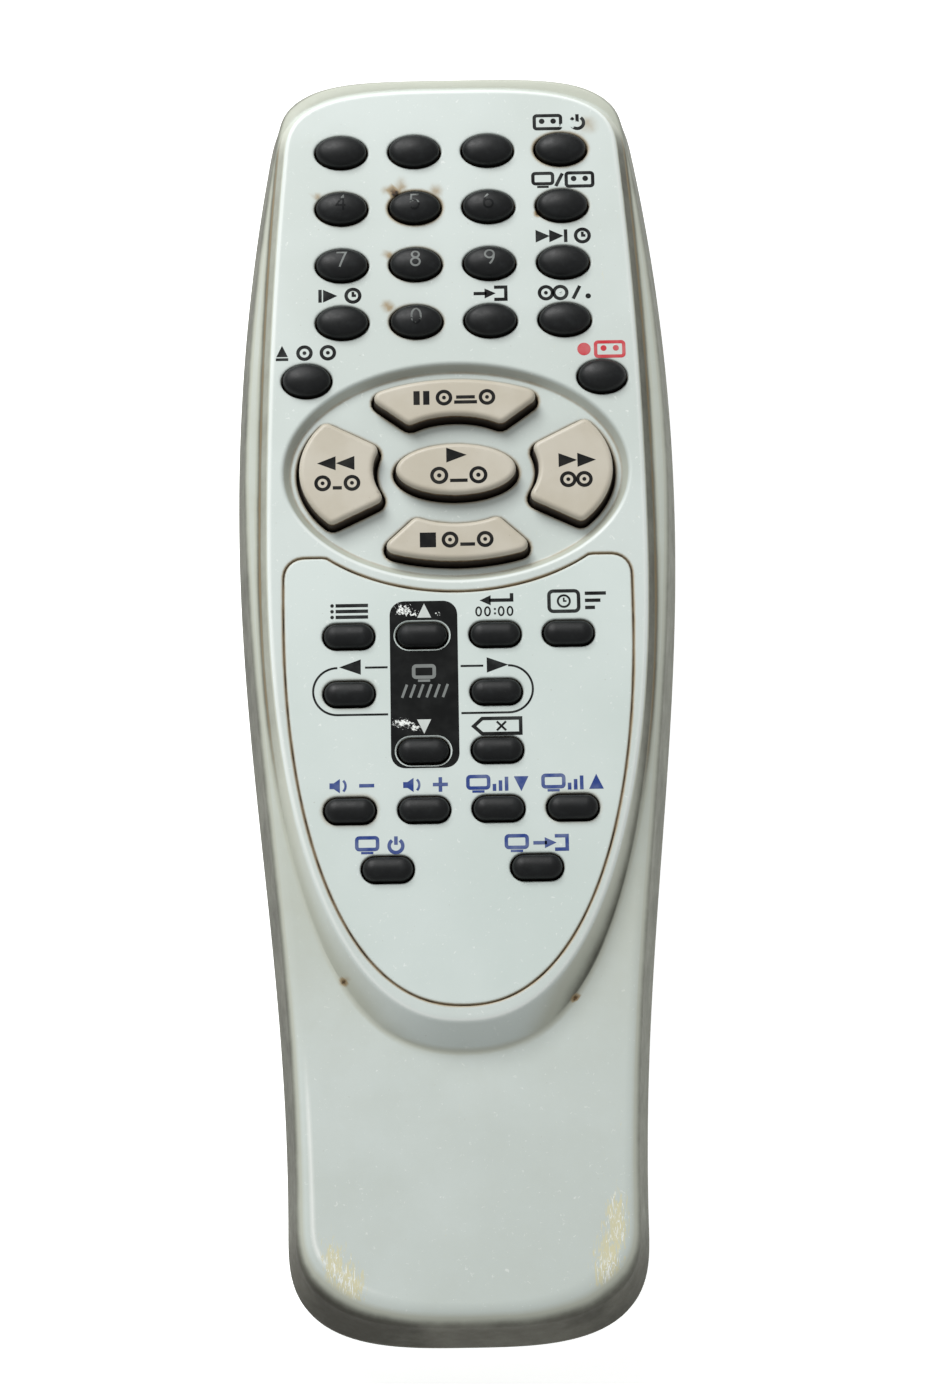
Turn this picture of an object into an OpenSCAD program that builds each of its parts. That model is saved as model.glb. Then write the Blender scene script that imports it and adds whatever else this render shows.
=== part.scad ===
// Hand-held infrared remote control with a raised key deck, a dish of transport keys and a
// battery bay in the grip. It lies face up on z = 0, with the front end towards +Y.

/* [Body] */
// Length of the two housings
body_length = 187.8; // [180:0.1:210]
// Width at the widest place, beside the dish
body_width = 64.4; // [60:0.1:76]
// Width of the grip near the tail
tail_width = 50.2; // [46:0.1:60]
// Width where the front corners begin
front_width = 55.6; // [52:0.1:64]
// Height of the joint between the two housings
parting_z = 10; // [8:0.1:11.5]
// Height of the shoulder at the front end
shoulder_front_z = 21.6; // [21:0.1:22.6]
// Height of the grip surface at the tail
shoulder_tail_z = 19.8; // [19.4:0.1:20.8]
// How far the side wall leans in between the joint and the shoulder
side_draft = 1.4; // [0.5:0.1:2.5]
// How far the front wall leans in
front_draft = 2.3; // [1:0.1:3]
// How far the tail wall leans in
tail_draft = 2; // [1:0.1:3]
// Radius of the edge between wall and shoulder
shoulder_round = 1.7; // [0.8:0.1:2.6]
// Radius that this edge grows to at the tail
tail_shoulder_round = 3.2; // [1.7:0.1:4]
// Width of the curved flank under the joint
belly_width = 6.5; // [4:0.1:8]
// Height of the curved flank under the joint
belly_height = 6; // [4:0.1:7.5]
// Thickness of the housings' walls
wall = 2.2; // [1.8:0.1:2.6]

/* [Deck] */
// Height of the key deck above the rest
deck_z = 24; // [23.4:0.1:25]
// Thickness of the deck
deck_wall = 2.4; // [2:0.1:2.8]
// Width of the deck's face at its widest place
deck_width = 53.8; // [53.2:0.1:56]
// Width of the deck's face at its front corners
deck_front_width = 46.8; // [45:0.1:49]
// Distance from the front end to the deck's face
deck_front_gap = 5.9; // [5:0.1:8]
// Width of the slope beside the deck
deck_slope = 1.5; // [1:0.1:2.2]
// Width of the slope round the deck's tip
collar_slope = 3.8; // [2.5:0.1:6]
// Distance from the insert's tip to the deck's edge
collar_margin = 2; // [1.2:0.1:4]

/* [Number keys] */
// Distance between the columns of oval keys
number_pitch_x = 10.8; // [10.4:0.1:11.4]
// Distance between the rows of oval keys
number_pitch_y = 8.95; // [8.4:0.05:9.6]
// Distance from the deck's front edge to the first row
first_row_gap = 9.65; // [8.5:0.05:10.5]
// Length of an oval opening
oval_length = 8; // [7.4:0.1:8.6]
// Width of an oval opening
oval_width = 5.4; // [4.8:0.1:6]
// Length of the two outer openings above the dish
outer_oval_length = 7.5; // [7:0.1:8]
// Distance of the outer ovals from the middle
outer_oval_x = 21.4; // [20.6:0.1:21.6]
// Distance from the last row down to the outer ovals
outer_oval_drop = 8.9; // [8.6:0.1:9.6]

/* [Dish] */
// Distance from the outer ovals down to the dish's centre
dish_drop = 14; // [13.6:0.1:16]
// Length of the dish's rim
dish_length = 50; // [49.4:0.1:51]
// Width of the dish's rim
dish_width = 33; // [32.4:0.1:33.6]
// Width of the dish's sloping side
dish_slope = 1.6; // [1:0.1:1.8]
// Depth of the dish
dish_depth = 1.4; // [1:0.1:1.8]
// Thickness of the dish's floor
dish_floor = 1.8; // [1.4:0.1:2]
// Length of the ring of transport keys
ring_length = 45.4; // [45:0.1:45.6]
// Width of the ring of transport keys
ring_width = 27.8; // [27:0.1:28]
// Length of the oval space inside the ring
ring_inner_length = 23.4; // [23:0.1:24.4]
// Width of the oval space inside the ring
ring_inner_width = 15.9; // [15.6:0.1:16.6]
// Length of the play key
play_length = 17.6; // [16:0.1:18]
// Width of the play key
play_width = 8.1; // [7.4:0.1:8.6]
// Radius of the transport keys' corners
ring_key_corner = 1.3; // [0.8:0.1:1.6]

/* [Insert panel] */
// Distance from the dish's centre down to the insert's widest place
insert_drop = 19.6; // [19:0.1:21]
// Width of the insert
insert_width = 49.8; // [48:0.1:50.2]
// Length from the widest place to the tip
insert_length = 57.8; // [54:0.1:62]
// Distance from the dish's rim to the insert's curved edge
insert_rim_gap = 1.5; // [1.2:0.1:2]
// Distance from the dish's centre down to the insert's upper corners
insert_corner_drop = 12.7; // [12.2:0.1:13.4]
// Thickness of the insert
insert_thickness = 1.2; // [0.8:0.1:1.4]
// Distance between the columns of pill keys
pill_pitch_x = 10.37; // [10:0.01:11]
// Distance between the rows of pill keys
pill_pitch_y = 8.42; // [8:0.01:9]
// Distance from the dish's centre down to the first row of pills
pill_drop = 24.5; // [24:0.1:25.5]
// Length of a pill opening
pill_length = 7.6; // [7:0.1:8]
// Width of a pill opening
pill_width = 4; // [3.6:0.1:4.4]

/* [Keys] */
// Distance that a key travels
key_travel = 1; // [0.6:0.05:1.2]
// Gap between a key and its opening
key_gap = 0.3; // [0.25:0.05:0.4]
// Height of an oval key above the deck
oval_height = 1.7; // [1.2:0.1:2.2]
// Height of a pill key above the deck
pill_height = 1.3; // [1:0.1:2]
// Height of a transport key above the dish's floor
transport_height = 2.6; // [2:0.1:3]
// Width of the flange that keeps a key in
flange_rim = 0.8; // [0.6:0.05:0.9]
// Thickness of a rubber key's flange
flange_thickness = 1; // [0.7:0.1:1.2]
// Thickness of a transport key's flange
hard_flange_thickness = 0.7; // [0.5:0.1:0.8]
// Radius of a key's contact stem
stem_radius = 1.7; // [1.2:0.1:1.8]
// Thickness of the keypad's sheet
mat_thickness = 1.2; // [0.8:0.1:1.4]

/* [Circuit board] */
// Distance from the deck's underside to the board
board_drop = 4.7; // [4.5:0.1:5]
// Thickness of the board
board_thickness = 1.6; // [1:0.1:1.6]
// Gap between the board and the housing's wall
board_gap = 1; // [0.6:0.1:1.4]
// Height of the lamp's axis
lamp_z = 12.8; // [12.8:0.05:13]
// Diameter of the infrared lamp
lamp_diameter = 5; // [3:0.1:5]

/* [Batteries] */
// Diameter of a battery cell
cell_diameter = 14.5; // [10.5:0.1:14.5]
// Length of a battery cell
cell_length = 50.5; // [44.5:0.1:50.5]
// Half the distance between the cells' axes
cell_x = 8.1; // [7.9:0.1:8.3]
// Length of a pressed battery spring
spring_length = 4; // [3:0.1:6]
// Thickness of the battery door
door_thickness = 1.9; // [1.7:0.1:2]
// Width of the door's visible face
door_width = 31.2; // [31:0.1:31.6]
// Width of the rail on each side of the door
rail_width = 1; // [0.8:0.1:1.2]
// Thickness of the rail
rail_thickness = 0.9; // [0.7:0.1:1]
// Gap round the door
door_gap = 0.3; // [0.25:0.05:0.4]

/* [Fastener] */
// Diameter of the case screw's shaft
screw_diameter = 2.5; // [2:0.1:2.6]
// Diameter of the case screw's head
screw_head = 4.8; // [4.4:0.1:5]
// Length of the case screw under its head
screw_length = 10; // [9:0.5:12]

/* [Hidden] */
$fn = 48;
overcut = 0.1;

// Places along the length
front_y = body_length / 2;
tail_y = -front_y;
front_round = 12;
tail_round = 16;
deck_front_y = front_y - deck_front_gap;
number_y = deck_front_y - first_row_gap;
outer_oval_y = number_y - 3 * number_pitch_y - outer_oval_drop;
dish_y = outer_oval_y - dish_drop;
deck_wide_y = dish_y - 8.6;
insert_y = dish_y - insert_drop;
insert_tip_y = insert_y - insert_length;
deck_tip_y = insert_tip_y - collar_margin;
pill_y = dish_y - pill_drop;

// Exponents of the rounded ends: 2 is an ellipse, and more is squarer
front_power = 4.2;
tail_power = 3.1;
deck_front_power = 3.2;
deck_tip_power = 2.3;
insert_power = 2.25;

// Heights
deck_under_z = deck_z - deck_wall;
deck_hollow_inset = 0.5;
dish_z = deck_z - dish_depth;
dish_under_z = dish_z - dish_floor;
insert_under_z = deck_z - insert_thickness;
board_top_z = deck_under_z - board_drop;
board_under_z = board_top_z - board_thickness;
pad_thickness = 0.1;
stem_z = board_top_z + pad_thickness + key_travel + 0.1;
hard_key_edge = 0.9;
hard_key_draft = 0.2;
soft_key_edge = 1.1;
soft_key_crown = 0.25;

// Battery bay
cell_gap = 0.3;
cell_z = door_thickness + cell_gap + 0.2 + cell_diameter / 2;
plate_thickness = 0.4;
bay_wall = 1.6;
bay_clear = 0.3;
bay_tail_y = tail_y + wall + tail_draft + bay_clear + bay_wall;
bay_front_y = bay_tail_y + cell_length + spring_length + plate_thickness + 2 * 0.1;
board_tail_y = bay_front_y + 1;
board_front_gap = 8.6;
mat_inset = 0.8;
stem_hole_gap = 0.5;
boss_hole_gap = 0.4;
bay_half = cell_x + cell_diameter / 2 + cell_gap + bay_wall;
bay_top_z = 14;
bay_notch_z = door_thickness + 2.1;
door_front_y = bay_front_y + 1.3;
rail_half = door_width / 2 + rail_width;
tongue_width = 3;
tongue_thickness = 0.8;
tongue_reach = 2.4;
tongue_z = wall + door_gap;
tongue_root = 1.4;
tongue_web = 1.2;
tongue_x = door_width / 2 - 0.3 - tongue_width / 2;
door_ribs = 6;
door_rib_length = 14;
door_rib_depth = 0.5;
door_rib_gap = 8;

// Case screw: in front of the bay, halfway between the two nearest rows of pill keys
screw_seat_z = 4.2;
screw_clearance = 0.25;
top_boss_radius = 2.5;
lip_height = 1.4;
lip_gap = 0.1;
boss_wall = 1.6;
boss_gap = 0.2;
boss_joint_z = parting_z + lip_height + boss_gap;
boss_radius = screw_head / 2 + screw_clearance + boss_wall;
screw_limit_y = door_front_y + door_gap + boss_radius;
screw_row = floor((pill_y - screw_limit_y) / pill_pitch_y - 0.5);
screw_y = pill_y - (screw_row + 0.5) * pill_pitch_y;

lamp_gap = 0.15;

// Pieces under the board: sizes, and places from the dish's centre or the first row
chip_size = [7.6, 15.6, 2.4];
chip_pin = [1.4, 0.4, 1.2];
resonator_size = [7, 3.2, 6];
resonator_place = [9, 14];
capacitor_diameter = 6.4;
capacitor_length = 8;
capacitor_place = [-17, 20];
transistor_width = 4.8;
transistor_height = 5;
transistor_x = 9;
resistor_diameter = 2.1;
resistor_length = 6;
resistor_pitch = 4;
resistor_place = [-16, -12];
lead_diameter = 0.6;
lead_reach = 2;

// Board posts
post_radius = 2.2;
pin_radius = 1;
pin_gap = 0.2;
post_x = 20;
post_number_drop = 4;
post_dish_drop = 17.5;
post_places = [for (y = [number_y - post_number_drop, dish_y - post_dish_drop])
    for (side = [-1, 1]) [side * post_x, y]];

function number_x(column) = (column - 1.5) * number_pitch_x;
function pill_x(column) = (column - 1.5) * pill_pitch_x;
function number_place(column, row) = [number_x(column), number_y - row * number_pitch_y];
function pill_place(column, row) = [pill_x(column), pill_y - row * pill_pitch_y];

// Oval keys: name, place, length of the opening
OVAL_KEYS = [
    ["key_1", number_place(0, 0), oval_length],
    ["key_2", number_place(1, 0), oval_length],
    ["key_3", number_place(2, 0), oval_length],
    ["power_key", number_place(3, 0), oval_length],
    ["key_4", number_place(0, 1), oval_length],
    ["key_5", number_place(1, 1), oval_length],
    ["key_6", number_place(2, 1), oval_length],
    ["tv_vcr_key", number_place(3, 1), oval_length],
    ["key_7", number_place(0, 2), oval_length],
    ["key_8", number_place(1, 2), oval_length],
    ["key_9", number_place(2, 2), oval_length],
    ["skip_key", number_place(3, 2), oval_length],
    ["slow_key", number_place(0, 3), oval_length],
    ["key_0", number_place(1, 3), oval_length],
    ["input_key", number_place(2, 3), oval_length],
    ["speed_key", number_place(3, 3), oval_length],
    ["eject_key", [-outer_oval_x, outer_oval_y], outer_oval_length],
    ["record_key", [outer_oval_x, outer_oval_y], outer_oval_length],
];

// Pill keys: name, place
PILL_KEYS = [
    ["menu_key", pill_place(0, 0)],
    ["channel_up_key", pill_place(1, 0)],
    ["enter_key", pill_place(2, 0)],
    ["timer_key", pill_place(3, 0)],
    ["left_key", pill_place(0, 1)],
    ["right_key", pill_place(2, 1)],
    ["channel_down_key", pill_place(1, 2)],
    ["clear_key", pill_place(2, 2)],
    ["volume_down_key", pill_place(0, 3)],
    ["volume_up_key", pill_place(1, 3)],
    ["tv_channel_down_key", pill_place(2, 3)],
    ["tv_channel_up_key", pill_place(3, 3)],
    ["tv_power_key", pill_place(0.5, 4)],
    ["tv_input_key", pill_place(2.5, 4)],
];

// Transport keys: name, angles on the ring's outer oval, angles on its inner oval
RING_KEYS = [
    ["pause_key", [54.3, 125.7], [55, 125]],
    ["rewind_key", [146.1, 217.5], [153.8, 214]],
    ["stop_key", [239.6, 300.4], [239.4, 300.6]],
    ["fast_forward_key", [322.5, 393.9], [326, 386.2]],
];

HOUSING_NODES = ["top_case", "insert_panel", "bottom_case", "battery_door", "case_screw"];
INNER_NODES = [
    "keypad_mat", "circuit_board", "contact_pads", "controller_chip", "resonator", "capacitor",
    "driver_transistor", "resistors", "ir_lamp", "battery_cells", "battery_springs", "battery_plates",
];

// ---- Outlines ----

// A point on a rounded end, from its side (0) to its tip (90)
function end_point(angle, power) = [pow(cos(angle), 2 / power), pow(sin(angle), 2 / power)];

// A closed outline, mirror-symmetric about x = 0, from its half width as a function of y
function closed_outline(half, tip_y, tip_corner_y, tip_power, tip_steps,
                        front_corner_y, end_y, end_power, end_steps, side_steps) =
    let (
        tip = [for (i = [0:tip_steps])
            let (e = end_point(90 - 90 * i / tip_steps, tip_power),
                 y = tip_corner_y - (tip_corner_y - tip_y) * e[1])
            [half(y) * e[0], y]],
        side = [for (i = [1:side_steps - 1])
            let (y = tip_corner_y + (front_corner_y - tip_corner_y) * i / side_steps)
            [half(y), y]],
        end = [for (i = [0:end_steps])
            let (e = end_point(90 * i / end_steps, end_power),
                 y = front_corner_y + (end_y - front_corner_y) * e[1])
            [half(y) * e[0], y]],
        right = concat(tip, side, end),
        left = [for (i = [len(right) - 2:-1:1]) [-right[i][0], right[i][1]]]
    ) concat(right, left);

// Half the body's width at y
function body_half(y) =
    let (wide = body_width / 2,
         tail = tail_width / 2,
         tail_corner_y = tail_y + tail_round,
         front_corner_y = front_y - front_round,
         back = min(1, (dish_y - y) / (dish_y - tail_corner_y)),
         ahead = (y - dish_y) / (front_corner_y - dish_y))
    y < dish_y
        ? tail + (wide - tail) * (1 + cos(180 * back)) / 2
        : wide - (wide - front_width / 2) * ahead * ahead;

// Radius of the shoulder's edge at y, which grows near the tail
function shoulder_radius(y) =
    let (back = max(0, (dish_y - y) / (dish_y - tail_y)))
    shoulder_round + (tail_shoulder_round - shoulder_round) * pow(back, 5);

// The body's outline, moved in by a distance, by a share of the draft and by a share of the shoulder's edge
function body_outline(inset, drafted = 0, turned = 0) =
    closed_outline(
        function(y) body_half(y) - inset - side_draft * drafted - shoulder_radius(y) * turned,
        tail_y + inset + tail_draft * drafted + tail_shoulder_round * turned,
        tail_y + tail_round, tail_power, 11,
        front_y - front_round,
        front_y - inset - front_draft * drafted - shoulder_round * turned,
        front_power, 11, 14);

// The deck's outline, moved out by one distance at the sides and another at the tip
function deck_outline(side, tip, front) =
    closed_outline(
        function(y)
            let (ahead = max(0, (y - deck_wide_y) / (deck_front_y - deck_wide_y)))
            deck_width / 2 + side - (deck_width - deck_front_width) / 2 * ahead * ahead,
        deck_tip_y - tip, deck_wide_y, deck_tip_power, 16,
        deck_front_y - 10, deck_front_y + front, deck_front_power, 8, 6);

// Outline of the hollow under the deck, moved in by a distance
function deck_hollow_outline(inset) =
    deck_outline(-deck_hollow_inset - inset, -deck_slope - inset, -deck_slope - inset);

// Points of an oval about a centre, between two angles
function oval_arc(length, width, from, to, steps, centre = [0, 0]) =
    [for (i = [0:steps])
        let (a = from + (to - from) * i / steps)
        centre + [length / 2 * cos(a), width / 2 * sin(a)]];
function oval(length, width, steps, centre = [0, 0]) =
    [for (i = [0:steps - 1]) centre + [length / 2 * cos(360 * i / steps), width / 2 * sin(360 * i / steps)]];

// Outline of the dish's floor, moved out by a distance
function dish_floor_outline(out) =
    oval(dish_length - 2 * (dish_slope - out), dish_width - 2 * (dish_slope - out), 60, [0, dish_y]);

// A closed outline moved in by a distance, along the normal of each point
function inset_outline(points, distance) =
    [for (i = [0:len(points) - 1])
        let (count = len(points),
             before = points[(i + count - 1) % count],
             after = points[(i + 1) % count],
             along = (after - before) / norm(after - before))
        points[i] + distance * [-along[1], along[0]]];

// A corner between two neighbours, replaced by an arc of four points
function rounded_corner(before, corner, after, radius) =
    let (u = (before - corner) / norm(before - corner),
         v = (after - corner) / norm(after - corner),
         half_angle = acos(u * v) / 2,
         middle = (u + v) / norm(u + v),
         centre = corner + middle * radius / sin(half_angle),
         start = corner + u * radius / tan(half_angle) - centre,
         stop = corner + v * radius / tan(half_angle) - centre)
    [for (t = [0:0.25:1])
        let (p = start * (1 - t) + stop * t)
        centre + p * radius / norm(p)];

// Outline of a key in the ring, between angles on the outer and the inner oval
function ring_key_outline(outer, inner) =
    let (steps = 6,
         far = oval_arc(ring_length, ring_width, outer[0], outer[1], steps, [0, dish_y]),
         near = oval_arc(ring_inner_length, ring_inner_width, inner[1], inner[0], steps, [0, dish_y]),
         inside = function(list) [for (i = [1:steps - 1]) list[i]])
    concat(
        rounded_corner(near[steps], far[0], far[1], ring_key_corner),
        inside(far),
        rounded_corner(far[steps - 1], far[steps], near[0], ring_key_corner),
        rounded_corner(far[steps], near[0], near[1], ring_key_corner),
        inside(near),
        rounded_corner(near[steps - 1], near[steps], far[0], ring_key_corner)
    );

// Outline of the insert's recess: a shield whose upper edge follows the dish
function insert_outline() =
    let (half = insert_width / 2,
         corner_y = dish_y - insert_corner_drop,
         arc_length = dish_length + 2 * insert_rim_gap,
         arc_width = dish_width + 2 * insert_rim_gap,
         arc_angle = asin(insert_corner_drop / (arc_width / 2)),
         tip = [for (i = [0:14])
             let (e = end_point(90 - 90 * i / 14, insert_power))
             [half * e[0], insert_y - insert_length * e[1]]],
         corner = rounded_corner([half, insert_y], [half, corner_y], [0, corner_y], 3),
         arc = oval_arc(arc_length, arc_width, -arc_angle, -90, 9, [0, dish_y]),
         right = concat(tip, corner, arc),
         left = [for (i = [len(right) - 2:-1:1]) [-right[i][0], right[i][1]]])
    concat(right, left);

// ---- Solids from outlines ----

// Height of the shoulder, a plane that falls towards the tail
function shoulder_z(y) = shoulder_tail_z + (shoulder_front_z - shoulder_tail_z) * (y - tail_y) / body_length;

// An outline lifted to a height, which may be a function of y
function level(points, z) = [for (p = points) [p[0], p[1], is_function(z) ? z(p[1]) : z]];

// A solid through a stack of rings with equal numbers of points, lowest first
module loft(rings) {
    count = len(rings[0]);
    last = len(rings) - 1;
    sides = [for (r = [0:last - 1]) for (i = [0:count - 1])
        let (j = (i + 1) % count, a = r * count, b = a + count)
        each [[a + i, b + i, b + j], [a + i, b + j, a + j]]];
    bottom = [for (i = [0:count - 1]) i];
    top = [for (i = [count - 1:-1:0]) last * count + i];
    polyhedron([for (r = rings) each r], concat([bottom], sides, [top]), convexity = 6);
}

module prism(points, from_z, to_z) {
    translate([0, 0, from_z])
        linear_extrude(to_z - from_z)
            polygon(points);
}

module at(place) {
    translate([place[0], place[1], 0])
        children();
}

// Oval and pill shapes in the plane
module oval_shape(length, width) {
    scale([length / width, 1])
        circle(d = width);
}

module pill_shape(length, width) {
    for (side = [-1, 1])
        translate([side * (length - width) / 2, 0])
            circle(d = width);
    square([length - width, width], center = true);
}

// ---- Housings ----

module upper_body() {
    rings = [for (a = [0:22.5:90]) level(
        body_outline(0, 1, 1 - cos(a)),
        function(y) shoulder_z(y) - shoulder_radius(y) * (1 - sin(a)))];
    loft(concat([level(body_outline(0), parting_z)], rings));
}

module upper_hollow() {
    loft([
        level(body_outline(wall), parting_z - overcut),
        level(body_outline(wall, 1), function(y) shoulder_z(y) - wall - shoulder_radius(y)),
        level(body_outline(wall, 1, 1), function(y) shoulder_z(y) - wall),
    ]);
}

module deck() {
    side_foot = deck_slope * 1.5;
    tip_foot = collar_slope * 1.5;
    foot = function(y) shoulder_z(y) - (deck_z - shoulder_z(y)) / 2;
    loft([
        level(deck_outline(side_foot, tip_foot, side_foot), foot),
        level(deck_outline(0.3, 0.5, 0.3), deck_z - 0.4),
        level(deck_outline(-0.2, -0.2, -0.2), deck_z),
    ]);
}

module lower_body() {
    rings = [for (a = [90:-15:0]) level(
        body_outline(belly_width * (1 - cos(a))),
        belly_height * (1 - sin(a)))];
    loft(concat(rings, [level(body_outline(0), parting_z)]));
}

module lower_hollow() {
    rings = [for (a = [90:-30:0]) level(
        body_outline(wall + (belly_width - wall) * (1 - cos(a))),
        wall + (belly_height - wall) * (1 - sin(a)))];
    loft(concat(rings, [level(body_outline(wall), parting_z + overcut)]));
}

module dish(extra) {
    loft([
        level(dish_floor_outline(0), dish_z),
        level(dish_floor_outline(dish_slope), deck_z),
        level(dish_floor_outline(dish_slope), deck_z + extra),
    ]);
}

// Openings of all the keys, through the deck
module key_openings() {
    for (k = OVAL_KEYS)
        at(k[1])
            translate([0, 0, deck_under_z - overcut])
                linear_extrude(deck_wall + 2 * overcut)
                    oval_shape(k[2], oval_width);
    for (k = PILL_KEYS)
        at(k[1])
            translate([0, 0, deck_under_z - overcut])
                linear_extrude(deck_wall + 2 * overcut)
                    pill_shape(pill_length, pill_width);
    for (k = RING_KEYS)
        prism(inset_outline(ring_key_outline(k[1], k[2]), -key_gap),
            dish_under_z - overcut, dish_z + overcut);
    translate([0, dish_y, dish_under_z - overcut])
        linear_extrude(dish_floor + 2 * overcut)
            oval_shape(play_length + 2 * key_gap, play_width + 2 * key_gap);
}

// Bore and head room of the infrared lamp
module lamp_bore(diameter, from_y, to_y) {
    translate([0, to_y, lamp_z])
        rotate([90, 0, 0])
            cylinder(d = diameter, h = to_y - from_y);
}

module top_case() color([0.85, 0.89, 0.87]) {
    difference() {
        union() {
            upper_body();
            deck();
        }
        difference() {
            union() {
                upper_hollow();
                prism(deck_hollow_outline(0), parting_z + wall, deck_under_z);
            }
            prism(dish_floor_outline(0.5), dish_under_z, deck_under_z + overcut);
        }
        prism(body_outline(wall / 2), parting_z - overcut, parting_z + lip_height + lip_gap);
        dish(1);
        prism(insert_outline(), insert_under_z, deck_z + 1);
        key_openings();
        lamp_bore(lamp_diameter + 2 * lamp_gap, front_y - 2 * wall - front_draft, front_y + 1);
    }
    // Boss that the case screw bites into
    translate([0, screw_y, boss_joint_z])
        difference() {
            cylinder(r = top_boss_radius, h = deck_under_z + overcut - boss_joint_z);
            translate([0, 0, -overcut])
                cylinder(d = screw_diameter + 0.1,
                    h = screw_seat_z + screw_length + 1 - boss_joint_z + overcut);
        }
}

module insert_panel() color([0.80, 0.84, 0.82]) {
    difference() {
        prism(inset_outline(insert_outline(), 0.2), insert_under_z, deck_z);
        for (k = PILL_KEYS)
            at(k[1])
                translate([0, 0, insert_under_z - overcut])
                    linear_extrude(insert_thickness + 2 * overcut)
                        pill_shape(pill_length, pill_width);
    }
}

// Space that the battery door slides in, and its rails' grooves
module door_space(gap) {
    y0 = tail_y - 1;
    length = door_front_y + gap - y0;
    half = door_width / 2 + gap;
    groove_half = rail_half + gap;
    groove_z = door_thickness - rail_thickness - gap;
    translate([-half, y0, -1])
        cube([2 * half, length, door_thickness + gap + 1]);
    translate([-groove_half, y0, groove_z])
        cube([2 * groove_half, length, door_thickness + gap - groove_z]);
}

// Block that the cells lie in, and the spaces cut from it
module bay_block() {
    intersection() {
        translate([-bay_half, bay_tail_y - bay_wall, wall - overcut])
            cube([2 * bay_half,
                bay_front_y - bay_tail_y + 2 * bay_wall,
                bay_top_z - wall + overcut]);
        union() {
            prism(body_outline(wall - overcut), 0, parting_z);
            prism(body_outline(wall + bay_clear, 1), 0, bay_top_z);
        }
    }
}

module bay_space() {
    for (side = [-1, 1])
        translate([side * cell_x, bay_front_y, cell_z])
            rotate([90, 0, 0])
                cylinder(d = cell_diameter + 2 * cell_gap, h = bay_front_y - bay_tail_y);
    // Room for the door's tongues, and the way in for the cells
    translate([-rail_half - door_gap, bay_tail_y, door_thickness])
        cube([2 * (rail_half + door_gap),
            bay_front_y + bay_wall + 1 - bay_tail_y,
            bay_notch_z - door_thickness]);
}

module bottom_case() color([0.62, 0.64, 0.60]) {
    difference() {
        union() {
            difference() {
                lower_body();
                lower_hollow();
            }
            // Lip that centres the upper housing
            difference() {
                prism(body_outline(wall / 2 + lip_gap), parting_z - 1, parting_z + lip_height);
                prism(body_outline(wall), parting_z - 1 - overcut, parting_z + lip_height + overcut);
            }
            bay_block();
            for (p = post_places)
                at(p) {
                    translate([0, 0, wall - overcut])
                        cylinder(r = post_radius, h = board_under_z - wall + overcut);
                    translate([0, 0, wall])
                        cylinder(r = pin_radius, h = board_top_z - wall - 0.1);
                }
            translate([0, screw_y, wall - overcut])
                cylinder(r = boss_radius, h = boss_joint_z - boss_gap - wall + overcut);
        }
        bay_space();
        door_space(door_gap);
        lamp_bore(lamp_diameter + 2 * lamp_gap, front_y - 2 * wall - front_draft, front_y + 1);
        translate([0, screw_y, -overcut]) {
            cylinder(d = screw_head + 2 * screw_clearance, h = screw_seat_z + overcut);
            cylinder(d = screw_diameter + 2 * screw_clearance, h = boss_joint_z + 1);
        }
    }
}

module battery_door() color([0.62, 0.64, 0.60]) {
    rib_pitch = 2.2;
    difference() {
        intersection() {
            lower_body();
            union() {
                translate([-door_width / 2, tail_y, 0])
                    cube([door_width, door_front_y - tail_y, door_thickness]);
                translate([-rail_half, tail_y, door_thickness - rail_thickness])
                    cube([2 * rail_half, door_front_y - tail_y, rail_thickness]);
            }
        }
        // Thumb grooves
        for (i = [0:door_ribs - 1])
            translate([-door_rib_length / 2, door_front_y - door_rib_gap - i * rib_pitch, -overcut])
                cube([door_rib_length, rib_pitch / 2, door_rib_depth + overcut]);
    }
    // Tongues that hook over the housing's floor
    for (side = [-1, 1])
        translate([side * tongue_x - tongue_width / 2, door_front_y - tongue_root, 0]) {
            translate([0, 0, door_thickness - overcut])
                cube([tongue_width, tongue_web, tongue_z + tongue_thickness - door_thickness + overcut]);
            translate([0, 0, tongue_z])
                cube([tongue_width, tongue_root + tongue_reach, tongue_thickness]);
        }
}

module case_screw() color([0.7, 0.7, 0.72]) {
    translate([0, screw_y, screw_seat_z]) {
        cylinder(d = screw_diameter, h = screw_length);
        difference() {
            translate([0, 0, -2])
                cylinder(d = screw_head, h = 2);
            for (turn = [0, 90])
                rotate([0, 0, turn])
                    translate([-1.3, -0.35, -2.1])
                        cube([2.6, 0.7, 1.2]);
        }
    }
}

// ---- Inner pieces ----

// Outline of the board and of the rubber sheet, which stop short of the battery bay
module board_shape(gap) {
    difference() {
        polygon(body_outline(wall + gap, 1));
        translate([-body_width, tail_y - 1])
            square([2 * body_width, board_tail_y + 1 - tail_y]);
        translate([-body_width, front_y - board_front_gap - gap])
            square([2 * body_width, body_length]);
        translate([0, screw_y])
            circle(r = top_boss_radius + boss_hole_gap);
    }
}

function key_places() = concat(
    [for (k = OVAL_KEYS) k[1]],
    [for (k = PILL_KEYS) k[1]],
    [for (k = RING_KEYS) ring_key_centre(k)],
    [[0, dish_y]]
);

function ring_key_centre(k) =
    let (a = (k[1][0] + k[1][1]) / 2,
         reach = [(ring_length + ring_inner_length) / 4, (ring_width + ring_inner_width) / 4])
    [reach[0] * cos(a), dish_y + reach[1] * sin(a)];

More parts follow.
